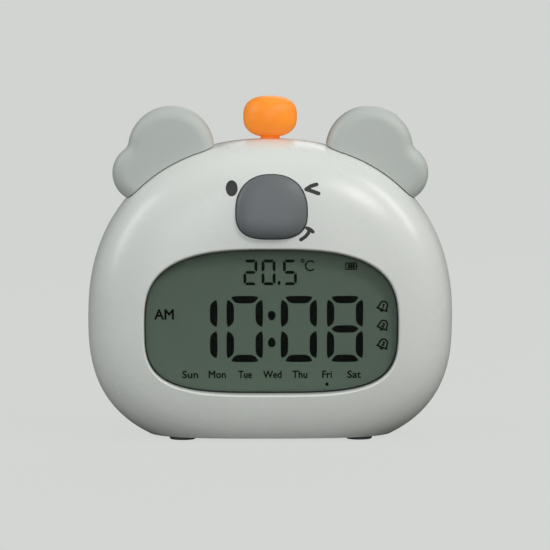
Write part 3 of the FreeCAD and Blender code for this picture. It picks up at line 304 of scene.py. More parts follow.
# %% Rubbed edges
WEAR_SCALE = 900.0
tree, given, mask = new_group("rubbed_edge", "Mask", "Float", Width=0.0006, Amount=0.5)
rounded = add(tree, "Bevel", samples=4)
wire(tree, given["Width"], rounded.inputs["Radius"])
match = add(tree, "VectorMath", operation="DOT_PRODUCT")
wire(tree, rounded.outputs[0], match.inputs[0])
wire(tree, add(tree, "NewGeometry").outputs["Normal"], match.inputs[1])
edge = ramp(tree, match.outputs["Value"], 0.995, 0.80)
broken = ramp(tree, noise(tree, given["Vector"], WEAR_SCALE, 4.0, 0.6), 0.38, 0.62)
share = math_node(tree, "MULTIPLY", edge, broken)
wire(tree, math_node(tree, "MULTIPLY", share, given["Amount"]), mask)
print("made", tree.name)

# %% [markdown]
# Dust lies on what looks up. The mask is the upward share of the normal, thinned by two noises so
# that it gathers in patches and specks.

# %% Settled dust
DRIFT_SCALE = 60.0
SPECK_SCALE = 2600.0
tree, given, mask = new_group("settled_dust", "Mask", "Float", Amount=0.2)
axes = add(tree, "SeparateXYZ")
wire(tree, add(tree, "NewGeometry").outputs["Normal"], axes.inputs[0])
facing_up = ramp(tree, axes.outputs["Z"], 0.55, 1.0)
drifts = ramp(tree, noise(tree, given["Vector"], DRIFT_SCALE, 3.0), 0.35, 0.75)
specks = ramp(tree, noise(tree, given["Vector"], SPECK_SCALE, 2.0), 0.52, 0.68)
share = math_node(tree, "MULTIPLY", facing_up, math_node(tree, "MULTIPLY", drifts, specks))
wire(tree, math_node(tree, "MULTIPLY", share, given["Amount"]), mask)
print("made", tree.name)

# %% [markdown]
# Most of the clock is moulded plastic, so one recipe serves: drifting colour, lightened at rubbed
# edges and under dust, a handled gloss, and the grain as a bump. The finishes differ in colour, in
# gloss and in how coarse the grain is.

# %% The recipe for a moulded finish
DUST_COLOUR = tint(205, 201, 190)
DUST_DULLING = 0.4
finishes = {}


def place_group(tree, name, vector, **values):
    node = add(tree, "Group", node_tree=bpy.data.node_groups[name])
    wire(tree, vector, node.inputs["Vector"])
    return feed(node, **values)


def moulded(name, colour, other, gloss, grain_scale, grain_depth, wear, worn, dust,
            tone_scale=30.0, gloss_scale=40.0, edge_width=0.0006, ior=1.49):
    """Keeps a finish and gives its shader. Gloss is the least and most roughness, depth is in metres."""
    material = bpy.data.materials.new(name)
    material.use_nodes = True
    tree = material.node_tree
    shader = feed(tree.nodes["Principled BSDF"], IOR=ior)
    where = add(tree, "TexCoord").outputs["Object"]
    tone = place_group(tree, "tone_drift", where, Scale=tone_scale, Color=colour, Other_Color=other)
    edges = place_group(tree, "rubbed_edge", where, Width=edge_width, Amount=wear)
    powder = place_group(tree, "settled_dust", where, Amount=dust)
    rubbed = blend_colour(tree, edges.outputs["Mask"], tone.outputs["Color"], worn)
    dusty = blend_colour(tree, powder.outputs["Mask"], rubbed, DUST_COLOUR)
    wire(tree, dusty, shader.inputs["Base Color"])
    polish = place_group(tree, "handled_gloss", where, Scale=gloss_scale, Low=gloss[0], High=gloss[1])
    duller = math_node(tree, "MULTIPLY", powder.outputs["Mask"], DUST_DULLING)
    wire(tree, math_node(tree, "ADD", polish.outputs["Roughness"], duller), shader.inputs["Roughness"])
    grain = place_group(tree, "mould_grain", where, Scale=grain_scale)
    relief = feed(add(tree, "Bump"), Strength=1.0, Distance=grain_depth)
    wire(tree, grain.outputs["Height"], relief.inputs["Height"])
    wire(tree, relief.outputs[0], shader.inputs["Normal"])
    finishes[name] = material
    return shader


print("moulded finish recipe ready")

# %% [markdown]
# The body is a satin white with a very slight green-grey cast. The ears are the same plastic in a
# light grey with a softer grain, and the nose is a darker, duller grey.

# %% Body, ears and nose
moulded("body_white", tint(226, 228, 223), tint(222, 224, 219), (0.26, 0.35), 2600.0, 0.000012, 0.12,
        tint(236, 237, 233), 0.04)
moulded("ear_grey", tint(192, 196, 191), tint(187, 192, 187), (0.44, 0.58), 2200.0, 0.000016, 0.3,
        tint(206, 209, 204), 0.12)
moulded("nose_grey", tint(107, 110, 112), tint(101, 104, 107), (0.40, 0.54), 2400.0, 0.000014, 0.35,
        tint(130, 132, 134), 0.08)
print("plastic finishes", list(finishes))

# %% [markdown]
# The lamp cap is a soft translucent moulding: light enters it, scatters and comes out again, which
# makes its shaded side warmer and redder. Subsurface scattering does that. A faint glow stands for
# the night light inside.

# %% Translucent orange
LAMP_SCATTER = 0.35
LAMP_DEPTHS = (1.0, 0.42, 0.12)
LAMP_REACH = 0.0035
LAMP_GLOW = 0.19
shader = moulded("lamp_orange", tint(255, 155, 46), tint(255, 148, 40), (0.40, 0.54), 2000.0, 0.000014, 0.15,
                 tint(255, 182, 92), 0.06, ior=1.43)
feed(shader, Subsurface_Weight=LAMP_SCATTER, Subsurface_Radius=LAMP_DEPTHS, Subsurface_Scale=LAMP_REACH,
     Emission_Color=tint(255, 136, 40), Emission_Strength=LAMP_GLOW)
print("lamp scatters over", LAMP_REACH / MM, "mm")

# %% [markdown]
# The window is a clear acrylic plate with a coating against glare. Glass that really bends light
# would leave the display behind it dark, and a flat plate bends nothing that the eye could see. So
# most light goes straight through, and a Fresnel share of it, small from the front and large from
# the side, is mirrored. Only the outer side of each face mirrors, because from inside a slanted ray
# would be mirrored wholly and the display would go black.

# %% Clear window
LENS_IOR = 1.16
LENS_MIRROR = (0.9, 0.92, 0.91, 1)
LENS_CAST = (0.965, 0.98, 0.97, 1)
lens_clear = bpy.data.materials.new("lens_clear")
lens_clear.use_nodes = True
tree = lens_clear.node_tree
gloss = feed(tree.nodes["Principled BSDF"], Base_Color=LENS_MIRROR, Metallic=1.0)
where = add(tree, "TexCoord").outputs["Object"]
wipe_marks = place_group(tree, "handled_gloss", where, Scale=28.0, Low=0.02, High=0.16)
wire(tree, wipe_marks.outputs["Roughness"], gloss.inputs["Roughness"])
through = feed(add(tree, "BsdfTransparent"), Color=LENS_CAST)
mirror_share = feed(add(tree, "Fresnel"), IOR=LENS_IOR)
outside = math_node(tree, "LESS_THAN", add(tree, "NewGeometry").outputs["Backfacing"], 0.5)
share = math_node(tree, "MULTIPLY", mirror_share.outputs[0], outside)
mix_shaders(tree, share, through, gloss)
finishes["lens_clear"] = lens_clear
print("window made of", lens_clear.name)

# %% [markdown]
# The display is a reflective liquid crystal cell: a flat grey-green polariser that hardly shines,
# over which the switched segments stand dark. The segments themselves are separate pieces of ink
# further down. The inks of the printed face come here too.

# %% Display glass and segment ink
DISPLAY_SHINE = 0.05
INK_EDGE = 0.0002
glass = moulded("display_glass", tint(105, 117, 105), tint(102, 114, 102), (0.32, 0.40), 5200.0, 0.000004,
                0.0, tint(105, 117, 105), 0.0, tone_scale=18.0)
segments = moulded("segment_ink", tint(6, 10, 6), tint(4, 8, 4), (0.36, 0.44), 5200.0, 0.000004, 0.0,
                   tint(6, 10, 6), 0.0)
for shader in (glass, segments):
    feed(shader, Specular_IOR_Level=DISPLAY_SHINE)
moulded("face_ink", tint(24, 24, 24), tint(30, 30, 29), (0.42, 0.55), 3600.0, 0.000008, 0.3,
        tint(66, 66, 65), 0.03, edge_width=INK_EDGE)
moulded("eye_ink", tint(38, 39, 38), tint(44, 45, 44), (0.42, 0.55), 3600.0, 0.000008, 0.3,
        tint(88, 88, 86), 0.03, edge_width=INK_EDGE)
print("finishes so far", list(finishes))

# %% [markdown]
# Inside are the parts nobody sees until the clock is opened. They still get the finish of the real
# thing: solder mask with its fine weave, bright and dark metal, foam, film and rubber.

# %% Finishes of the inner parts
# Name, colour, other colour, gloss, grain scale and grain depth.
PLAIN_MOULDED = (
    ("white_plastic", tint(228, 229, 226), tint(220, 221, 217), (0.4, 0.55), 2600.0, 0.000012),
    ("clear_plastic", tint(214, 222, 220), tint(205, 214, 212), (0.12, 0.2), 3000.0, 0.000004),
    ("foam_black", tint(34, 34, 35), tint(26, 26, 27), (0.85, 0.95), 1400.0, 0.000120),
    ("feet_rubber", tint(62, 62, 63), tint(54, 54, 55), (0.65, 0.8), 1800.0, 0.000040),
    ("contact_rubber", tint(86, 84, 86), tint(48, 47, 49), (0.6, 0.75), 2400.0, 0.000020),
    ("board_green", tint(30, 92, 52), tint(22, 76, 44), (0.25, 0.4), 2800.0, 0.000030),
    ("part_black", tint(38, 38, 40), tint(30, 30, 32), (0.45, 0.6), 2600.0, 0.000012),
    ("magnet_dark", tint(74, 74, 78), tint(60, 60, 64), (0.4, 0.6), 2000.0, 0.000020),
    ("paper_dark", tint(48, 46, 44), tint(40, 38, 37), (0.8, 0.9), 900.0, 0.000060),
    ("cell_wrap", tint(44, 96, 150), tint(38, 86, 138), (0.25, 0.35), 1200.0, 0.000008),
    ("lamp_diode", tint(236, 232, 205), tint(226, 220, 186), (0.2, 0.3), 3000.0, 0.000004))
INNER_WEAR = 0.4
INNER_DUST = 0.05
for name, colour, other, gloss, scale, depth in PLAIN_MOULDED:
    moulded(name, colour, other, gloss, scale, depth, INNER_WEAR, other, INNER_DUST)
METALS = (("steel", tint(188, 188, 190), (0.22, 0.4)), ("mirror_film", tint(226, 228, 230), (0.08, 0.16)))
for name, colour, gloss in METALS:
    shader = moulded(name, colour, colour, gloss, 2400.0, 0.000006, 0.5, tint(225, 225, 226), 0.0)
    feed(shader, Metallic=1.0)
print("finishes", len(finishes))

# %% [markdown]
# Each CAD node carries the name of a material slot from the record. The slot's name is the finish's
# name, so every node gets its finish by looking it up.

# %% Finish every CAD node
used = {}
for name, node in nodes.items():
    slot_name = node.material_slots[0].material.name.split(".")[0]
    for holder in node.material_slots:
        holder.material = finishes[slot_name]
    used[slot_name] = used.get(slot_name, 0) + 1
print("nodes by finish", used)

# %% [markdown]
# Ink and display segments are thin plates whose outline is drawn by a distance: every point knows
# how far it is from the shape's edge. A fine grid of squares inside the shape is kept, and its outer
# corners slide onto the edge. That joins strokes that cross with no seam, and it gives enough points
# for the plate to follow a curved surface.

# %% Shapes drawn by distance
def to_stroke(x, z, start, end, half):
    """Distance to a stroke with round ends."""
    dx, dz = end[0] - start[0], end[1] - start[1]
    along = ((x - start[0]) * dx + (z - start[1]) * dz) / (dx * dx + dz * dz)
    along = min(1, max(0, along))
    return math.hypot(x - start[0] - along * dx, z - start[1] - along * dz) - half


def to_path(x, z, points, half):
    return min(to_stroke(x, z, a, b, half) for a, b in zip(points, points[1:]))


def to_paths(*paths):
    """A distance function for several paths at once, each with half its stroke's width."""
    return lambda x, z: min(to_path(x, z, points, half) for points, half in paths)


def to_oval(x, z, middle, half_x, half_z):
    px, pz = (x - middle[0]) / half_x, (z - middle[1]) / half_z
    reach = math.hypot(px, pz)
    slope = math.hypot(px / half_x, pz / half_z)
    return (reach - 1) * reach / slope if slope > 1e-9 else -min(half_x, half_z)


def arc(middle, radius, start, end, steps):
    """Points on an arc, from start to end in degrees."""
    angles = [math.radians(start + (end - start) * i / steps) for i in range(steps + 1)]
    return [(middle[0] + radius * math.cos(a), middle[1] + radius * math.sin(a)) for a in angles]


print("a point 1 mm off a stroke's side measures", to_stroke(0, 1.5, (-1, 0), (1, 0), 0.5))

# %% [markdown]
# The plate is closed on all sides, so that it is a real thin solid: a front layer, a back layer and
# a rim between them. A function gives the depth of the surface that carries it.

# %% Thin plates from a distance
def sheet_of(distance, low, high, cell, surface, lift, sink):
    """A mesh for the plate, drawn in X and Z in millimetres between low and high."""
    count_x = math.ceil((high[0] - low[0]) / cell)
    count_z = math.ceil((high[1] - low[1]) / cell)
    kept = {(i, k) for i in range(count_x) for k in range(count_z)
            if distance(low[0] + (i + 0.5) * cell, low[1] + (k + 0.5) * cell) < 0}
    corners = Counter(corner for i, k in kept for corner in ((i, k), (i + 1, k), (i + 1, k + 1), (i, k + 1)))
    mesh = bmesh.new()
    front, back = {}, {}
    step = cell * 0.05
    for (i, k), uses in sorted(corners.items()):
        x, z = low[0] + i * cell, low[1] + k * cell
        if uses < 4:
            for _ in range(3):
                gap = distance(x, z)
                slope_x = (distance(x + step, z) - distance(x - step, z)) / (2 * step)
                slope_z = (distance(x, z + step) - distance(x, z - step)) / (2 * step)
                steep = max(slope_x ** 2 + slope_z ** 2, 0.25)
                x -= gap * slope_x / steep
                z -= gap * slope_z / steep
        y, outward = surface(x, z)
        front[i, k] = mesh.verts.new(place(x, y + outward * lift, z))
        back[i, k] = mesh.verts.new(place(x, y - outward * sink, z))
    for i, k in sorted(kept):
        ring = [(i, k), (i + 1, k), (i + 1, k + 1), (i, k + 1)]
        mesh.faces.new([front[c] for c in ring])
        mesh.faces.new([back[c] for c in reversed(ring)])
        sides = (((i, k - 1), 0, 1), ((i + 1, k), 1, 2), ((i, k + 1), 2, 3), ((i - 1, k), 3, 0))
        for neighbour, a, b in sides:
            if neighbour not in kept:
                mesh.faces.new([front[ring[b]], front[ring[a]], back[ring[a]], back[ring[b]]])
    bmesh.ops.recalc_face_normals(mesh, faces=mesh.faces)
    return mesh


def solid(name, mesh):
    """An object in the scene for a mesh that was built."""
    data = bpy.data.meshes.new(name)
    mesh.to_mesh(data)
    mesh.free()
    return in_scene(name, data)


def settle(piece, body, slot_name, *replaced, finish=None):
    """Gives a piece its body and the finish named by slot_name, or another finish, and hides the CAD nodes
    that it stands for.
    """
    piece.data.materials.clear()
    piece.data.materials.append(finishes[finish or slot_name])
    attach(piece, body)
    if replaced:
        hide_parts(*replaced)


INK_SLOTS = {"segment_ink": "display_glass", "face_ink": "nose_grey", "eye_ink": "nose_grey"}


def inked(name, mesh, ink):
    piece = solid(name, mesh)
    piece.data.shade_flat()
    settle(piece, "housing", INK_SLOTS[ink], finish=ink)


print("plate maker ready")

# %% [markdown]
# Ink on the face and on the back follows the housing. A ray shot at a CAD node finds the depth of
# its surface under each point of the ink.

# %% Where the housing's surface is
def surface_finder(node_name, from_front):
    """Depth of a CAD node's surface at X and Z, and which way its outside looks along Y."""
    mesh = bmesh.new()
    mesh.from_mesh(nodes[node_name].data)
    hull = BVHTree.FromBMesh(mesh)
    mesh.free()
    outward = -1 if from_front else 1

    def find(x, z):
        hit = hull.ray_cast(place(x, outward * 200, z), Vector((0, -outward, 0)))[0]
        return hit.y / MM, outward

    return find


on_face = surface_finder("front_shell", True)
print("the face at the eye lies at y =", round(on_face(-13, 85)[0], 2), "mm")

# %% [markdown]
# The housing round the window, the ears, the lamp cap and the nose are moulded again here with
# finer forms than the CAD solids have. Each is skinned through rings of points, and where one
# stands on another, the exact boolean cuts it to fit. Sharp edges are found by their angle, and the
# rest is shaded smooth. A cut leaves long thin triangles that would shade badly, so faces that it
# left in place take over the shading of the CAD mesh.

# %% Skins and cuts
SHARP_ANGLE = 35
SAME_PLACE = 0.00001
SAME_WAY = 0.9995


def skin(rings, looped=False):
    """A closed surface through rings of equally many points, with flat ends or joined end to end."""
    mesh = bmesh.new()
    rows = [[mesh.verts.new(point) for point in ring] for ring in rings]
    pairs = list(zip(rows, rows[1:]))
    if looped:
        pairs.append((rows[-1], rows[0]))
    else:
        mesh.faces.new(rows[0][::-1])
        mesh.faces.new(rows[-1])
    for lower, upper in pairs:
        for i in range(len(lower)):
            j = (i + 1) % len(lower)
            mesh.faces.new([lower[i], lower[j], upper[j], upper[i]])
    bmesh.ops.recalc_face_normals(mesh, faces=mesh.faces)
    return mesh


def evaluated_mesh(thing):
    return bpy.data.meshes.new_from_object(thing.evaluated_get(bpy.context.evaluated_depsgraph_get()))


def carve(base, tool, operation="DIFFERENCE"):
    """Cuts tool out of base, or joins it to base, and removes tool."""
    modifier = base.modifiers.new("carve", "BOOLEAN")
    modifier.operation = operation
    modifier.solver = "EXACT"
    modifier.object = tool
    carved = evaluated_mesh(base)
    base.modifiers.clear()
    base.data = carved
    bpy.data.objects.remove(tool)


def shade(piece):
    piece.data.shade_smooth()
    piece.data.set_sharp_from_angle(angle=math.radians(SHARP_ANGLE))


def cad_copy(node_name, name):
    """A copy of a CAD node that may be cut."""
    piece = nodes[node_name].copy()
    piece.data = piece.data.copy()
    piece.name = name
    bpy.context.scene.collection.objects.link(piece)
    return piece


def carry_normals(piece, source):
    """Gives the faces that a cut left in place the shading that they had in source."""
    shade(piece)
    source.calc_loop_triangles()
    triangles = source.loop_triangles
    points = [v.co for v in source.vertices]
    hull = BVHTree.FromPolygons(points, [t.vertices for t in triangles])
    normals = []
    for face in piece.data.polygons:
        _, _, index, gap = hull.find_nearest(face.center)
        triangle = triangles[index]
        if gap > SAME_PLACE or triangle.normal.dot(face.normal) < SAME_WAY:
            normals += [(0, 0, 0)] * len(face.vertices)
            continue
        corners = [points[i] for i in triangle.vertices]
        ends = [source.corner_normals[i].vector for i in triangle.loops]
        for i in face.vertices:
            spot = piece.data.vertices[i].co
            normals.append(barycentric_transform(spot, *corners, *ends).normalized())
    piece.data.normals_split_custom_set(normals)


print("sharp above", SHARP_ANGLE, "degrees")

# %% [markdown]
# The body is an oval whose reach and squareness differ above and below its widest line. The face
# is a dome on that oval: the further a point lies towards the edge, the deeper the face falls back.

# %% Ovals and the face
def turns(count):
    """One full turn in equal steps."""
    return [2 * math.pi * i / count for i in range(count)]


class Oval:
    def __init__(self, half_x, up, down, up_power, down_power, middle):
        self.half_x, self.up, self.down = half_x, up, down
        self.up_power, self.down_power, self.middle = up_power, down_power, middle

    def point(self, angle, grow=0.0, share=1.0):
        """X and Z at an angle, grown outward by a length and scaled to a share."""
        c, s = math.cos(angle), math.sin(angle)
        half_z, power = (self.up, self.up_power) if s >= 0 else (self.down, self.down_power)
        reach = (abs(c / (self.half_x + grow)) ** power + abs(s / (half_z + grow)) ** power) ** (-1 / power)
        return share * reach * c, self.middle + share * reach * s

    def ring(self, count, grow=0.0, share=1.0):
        return [self.point(angle, grow, share) for angle in turns(count)]

    def share(self, x, z):
        """How far a point lies from the middle towards the curve, 1 on the curve."""
        half_z, power = (self.up, self.up_power) if z >= self.middle else (self.down, self.down_power)
        return (abs(x / self.half_x) ** power + abs((z - self.middle) / half_z) ** power) ** (1 / power)


BODY = Oval(62.5, 60.8, 46.8, 2.23, 2.67, 41.0)
FACE_DEPTH = 27.0
FACE_SIDE_POWER = 5.5
FACE_DEPTH_POWER = 2.5
BAND_DEPTH = 11.0


def face_depth(x, z):
    """Y of the face's dome at X and Z."""
    fall = max(0.0, 1 - BODY.share(x, z) ** FACE_SIDE_POWER)
    return -FACE_DEPTH * fall ** (1 / FACE_DEPTH_POWER)


print("dome against CAD beside the window", round(face_depth(0, 12) - on_face(0, 12)[0], 3), "mm")

# %% [markdown]
# The window is a recess with a slightly drafted wall that ends at the lens. Where the wall meets
# the face the mould has a small round, which catches the light as a bright lip under the display.
# The cutting tool has the wall, the round and a straight shank that leaves through the face, and at
# each angle it follows the dome. The foam gasket behind it shows as a thin dark line.

# %% Window of the housing
WINDOW = Oval(43.25, 25.7, 23.75, 2.9, 3.6, 39.8)
WINDOW_LENS_Y = -23.7
WINDOW_DRAFT = math.tan(math.radians(11))
WINDOW_ROUND = 0.6
WINDOW_POINTS = 180
ROUND_TURNS = (0, 15, 30, 45, 60, 72, 83)
TOOL_PAST_LENS = 0.2
TOOL_FRONT = -31.0
TOOL_FLARE = 0.01
PROBE_OUT = 1.4

wall = [[] for _ in range(len(ROUND_TURNS) + 2)]
for angle in turns(WINDOW_POINTS):
    probe = WINDOW.point(angle, PROBE_OUT)
    lift = on_face(*probe)[0] - face_depth(*probe)
    lip_y = face_depth(*WINDOW.point(angle)) + lift
    lip_grow = -(lip_y + WINDOW_ROUND + FACE_DEPTH) * WINDOW_DRAFT
    deep_y = WINDOW_LENS_Y + TOOL_PAST_LENS
    x, z = WINDOW.point(angle, -(deep_y + FACE_DEPTH) * WINDOW_DRAFT)
    wall[0].append(place(x, deep_y, z))
    for row, degrees in enumerate(ROUND_TURNS, 1):
        turn = math.radians(degrees)
        grow = lip_grow + WINDOW_ROUND * (1 - math.cos(turn))
        x, z = WINDOW.point(angle, grow)
        wall[row].append(place(x, face_depth(x, z) + lift + WINDOW_ROUND * (1 - math.sin(turn)), z))
    x, z = WINDOW.point(angle, grow + TOOL_FLARE)
    wall[-1].append(place(x, TOOL_FRONT, z))

shell = cad_copy("front_shell", "housing_front")
carve(shell, solid("window_tool", skin(wall)))
carry_normals(shell, nodes["front_shell"].data)
settle(shell, "housing", "body_white", "front_shell")

GASKET_SHOWN = 0.3
GASKET_OUTER = Oval(43.05, 25.75, 23.15, 2.9, 3.6, 39.8)
GASKET_BACK = -21.2
GASKET_FRONT = -22.2
lens_grow = -(WINDOW_LENS_Y + FACE_DEPTH) * WINDOW_DRAFT
band = []
for oval, grow, y in ((GASKET_OUTER, 0.0, GASKET_FRONT), (GASKET_OUTER, 0.0, GASKET_BACK),
                      (WINDOW, lens_grow - GASKET_SHOWN, GASKET_BACK),
                      (WINDOW, lens_grow - GASKET_SHOWN, GASKET_FRONT)):
    band.append([place(x, y, z) for x, z in oval.ring(WINDOW_POINTS, grow)])
gasket = solid("window_gasket", skin(band, looped=True))
shade(gasket)
settle(gasket, "housing", "foam_black", "lcd_gasket")
print("housing faces", len(shell.data.polygons))

# %% [markdown]
# Each ear is one thick plate of two lobes with blended corners between them. Its faces are flat and
# its rims are rounded, and it stands on the body with a hairline seam. In its own axes X runs down
# the body's outline and Z looks out of the body. A tenon reaches through the wall.

# %% Ears
EAR_LOBES = ((-6.34, 2.94, 14.7), (6.6, 2.32, 9.9))
EAR_NECK = 4.0
EAR_BASE_X = 37.3
EAR_MIDDLE_Y = -1.0
EAR_LEAN = 3.5
EAR_HALF = 10.25
EAR_EDGE = 4.8
EAR_EDGE_TURNS = (90, 80, 70, 58, 46, 34, 22, 10, 0)
EAR_SEAM = 0.35
EAR_ARC_POINTS = (28, 10, 44, 10)
TENON_HALF = (6.5, 3.4)
TENON_REACH = (-4.85, 3.0)


def ear_outline(inset):
    """The two lobes drawn in by inset, as X and Z in the ear's axes, each arc in even steps."""
    (x1, z1, r1), (x2, z2, r2) = [(x, z, radius - inset) for x, z, radius in EAR_LOBES]
    blend = EAR_NECK + inset
    span = math.hypot(x2 - x1, z2 - z1)
    ahead = ((x2 - x1) / span, (z2 - z1) / span)
    along = (span ** 2 + (r1 + blend) ** 2 - (r2 + blend) ** 2) / (2 * span)
    away = math.sqrt((r1 + blend) ** 2 - along ** 2)
    big = math.atan2(away, along)
    small = math.atan2(away, along - span)
    from_small = math.atan2(-away, span - along)
    from_big = math.atan2(-away, -along)
    arcs = ((span, 0, r2, -small, small), (along, away, blend, from_small, from_big),
            (0, 0, r1, big, 2 * math.pi - big), (along, -away, blend, -from_big, -from_small))
    points = []
    for (u, v, radius, start, end), count in zip(arcs, EAR_ARC_POINTS):
        for i in range(count):
            turn = start + (end - start) * i / count
            pu, pv = u + radius * math.cos(turn), v + radius * math.sin(turn)
            points.append((x1 + pu * ahead[0] - pv * ahead[1], z1 + pu * ahead[1] + pv * ahead[0]))
    return points


base_share = EAR_BASE_X / BODY.half_x
base_rise = (1 - base_share ** BODY.up_power) ** (1 / BODY.up_power)
ear_slope = math.atan2(base_share ** (BODY.up_power - 1) / BODY.half_x,
                       base_rise ** (BODY.up_power - 1) / BODY.up) + math.radians(EAR_LEAN)
ear_base_z = BODY.middle + BODY.up * base_rise


def on_ear(side, x, y, z):
    """A point of the ear's axes in the clock's, on the right for side 1 and on the left for -1."""
    c, s = math.cos(ear_slope), math.sin(ear_slope)
    return place(side * (EAR_BASE_X + x * c + z * s), EAR_MIDDLE_Y + y, ear_base_z - x * s + z * c)


def body_former(grow):
    """The front half of the body, grown a little, to cut what stands on it."""
    rings = []
    for degrees in range(84, -1, -4):
        angle = math.radians(degrees)
        share = math.cos(angle) ** (2 / FACE_SIDE_POWER)
        y = -(FACE_DEPTH + grow) * math.sin(angle) ** (2 / FACE_DEPTH_POWER)
        rings.append([place(x, y, z) for x, z in BODY.ring(WINDOW_POINTS, grow, share)])
    rings.append([point + place(0, BAND_DEPTH + 2, 0) for point in rings[-1]])
    return skin(rings)


for side, name in ((1, "right_ear"), (-1, "left_ear")):
    rings = []
    for face in (-1, 1):
        for degrees in (EAR_EDGE_TURNS if face < 0 else reversed(EAR_EDGE_TURNS)):
            turn = math.radians(degrees)
            outline = ear_outline(EAR_EDGE * (1 - math.cos(turn)))
            y = face * (EAR_HALF - EAR_EDGE * (1 - math.sin(turn)))
            rings.append([on_ear(side, x, y, z) for x, z in outline])
    piece = solid(name + "_moulding", skin(rings))
    carve(piece, solid("seat_tool", body_former(EAR_SEAM)))
    corners = [(a * TENON_HALF[0], b * TENON_HALF[1]) for a, b in ((-1, -1), (1, -1), (1, 1), (-1, 1))]
    tenon = skin([[on_ear(side, x, y, z) for x, y in corners] for z in TENON_REACH])
    carve(piece, solid("tenon", tenon), "UNION")
    shade(piece)
    settle(piece, "housing", "ear_grey", name)
print("ears stand at", round(math.degrees(ear_slope), 1), "degrees")

# %% [markdown]
# The lamp cap is turned: a squarish round on a short hollow neck, which widens where the collar
# clamps it under the body's top. Its section runs from the top down the outside, up the bore and
# round the hollow that lets the light spread.

# %% Lamp cap
LAMP_AXIS_Y = 2.0
LAMP_MIDDLE_Z = 109.5
LAMP_OVAL = Oval(9.25, 7.05, 7.05, 2.55, 2.55, LAMP_MIDDLE_Z)
LAMP_POINTS = 72
NECK_SHOWN = 3.3
NECK_CLAMPED = 3.6
NECK_STEP_Z = 99.0
NECK_BOTTOM_Z = 92.0
NECK_BORE = 2.3
LAMP_CORE = (6.0, 4.4)
POLE = 0.3

section = [(POLE, LAMP_MIDDLE_Z + LAMP_OVAL.up)]
for degrees in range(86, -88, -4):
    radius, z = LAMP_OVAL.point(math.radians(degrees))
    if z > LAMP_MIDDLE_Z or radius > NECK_SHOWN + POLE:
        section.append((radius, z))
neck_share = NECK_SHOWN / LAMP_OVAL.half_x
meet = LAMP_OVAL.down * (1 - neck_share ** LAMP_OVAL.down_power) ** (1 / LAMP_OVAL.down_power)
core_radius, core_half = LAMP_CORE
section += [(NECK_SHOWN, LAMP_MIDDLE_Z - meet), (NECK_SHOWN, NECK_STEP_Z), (NECK_CLAMPED, NECK_STEP_Z),
            (NECK_CLAMPED, NECK_BOTTOM_Z), (NECK_BORE, NECK_BOTTOM_Z),
            (NECK_BORE, LAMP_MIDDLE_Z - core_half), (core_radius, LAMP_MIDDLE_Z - core_half),
            (core_radius, LAMP_MIDDLE_Z + core_half), (POLE, LAMP_MIDDLE_Z + core_half)]
rings = [[place(radius * math.cos(a), LAMP_AXIS_Y + radius * math.sin(a), z) for a in turns(LAMP_POINTS)]
         for radius, z in section]
piece = solid("lamp_cap_moulding", skin(rings))
shade(piece)
settle(piece, "lamp_button", "lamp_orange", "lamp_cap")
print("lamp section points", len(section))

# %% [markdown]
# The nose is a button with a crowned front and a skirt that runs back through the face to a flange,
# with a post on its inside that presses the switch. It is drawn upright and tipped back, so that it
# follows the slope of the forehead.

# %% Nose button
NOSE = Oval(11.72, 12.15, 9.1, 2.25, 2.9, 78.05)
NOSE_PIVOT = (-26.08, 79.65)
NOSE_TIP = math.radians(-7.9)
CROWN_BASE = -26.88
CROWN_HIGH = 2.6
CROWN_SIDE_POWER = 2.9
CROWN_DEPTH_POWER = 2.1
CROWN_TURNS = (89.5, 86, 82, 77, 71, 64, 57, 49, 41, 33, 25, 17, 9, 0)
NOSE_FLANGE = (1.1, -23.18, -21.98)
NOSE_WALL = 1.6
NOSE_POST = (2.6, -19.58)
NOSE_POINTS = 120


def tipped(x, y, z):
    """A point turned about the pivot by the slope of the forehead."""
    dy, dz = y - NOSE_PIVOT[0], z - NOSE_PIVOT[1]
    c, s = math.cos(NOSE_TIP), math.sin(NOSE_TIP)
    return place(x, NOSE_PIVOT[0] + dy * c - dz * s, NOSE_PIVOT[1] + dy * s + dz * c)


section = []
for degrees in CROWN_TURNS:
    angle = math.radians(degrees)
    share = math.cos(angle) ** (2 / CROWN_SIDE_POWER)
    section.append((0.0, share, CROWN_BASE - CROWN_HIGH * math.sin(angle) ** (2 / CROWN_DEPTH_POWER)))
grow, flange_front, flange_back = NOSE_FLANGE
section += [(0.0, 1.0, flange_front), (grow, 1.0, flange_front), (grow, 1.0, flange_back),
            (-NOSE_WALL, 1.0, flange_back), (-NOSE_WALL, 1.0, CROWN_BASE)]
rings = [[tipped(x, y, z) for x, z in NOSE.ring(NOSE_POINTS, grow, share)] for grow, share, y in section]
post_radius, post_back = NOSE_POST
rings += [[tipped(post_radius * math.cos(a), y, NOSE_PIVOT[1] + post_radius * math.sin(a))
           for a in turns(NOSE_POINTS)] for y in (CROWN_BASE, post_back)]
piece = solid("nose_moulding", skin(rings))
shade(piece)
settle(piece, "nose_button", "nose_grey", "nose_cap")
print("nose rings", len(rings))

# %% [markdown]
# The rear cover is held by four screws with cross recesses. The recess is cut into a copy of the
# plain CAD screws.

# %% Cross recesses
SCREW_TOP = 15.4
SCREW_PLACES = [(side * x, z) for x, z in ((54.0, 40.0), (27.0, 84.0)) for side in (-1, 1)]
CROSS_REACH = 1.6
CROSS_HALF = 0.36
CROSS_DEEP = 1.1

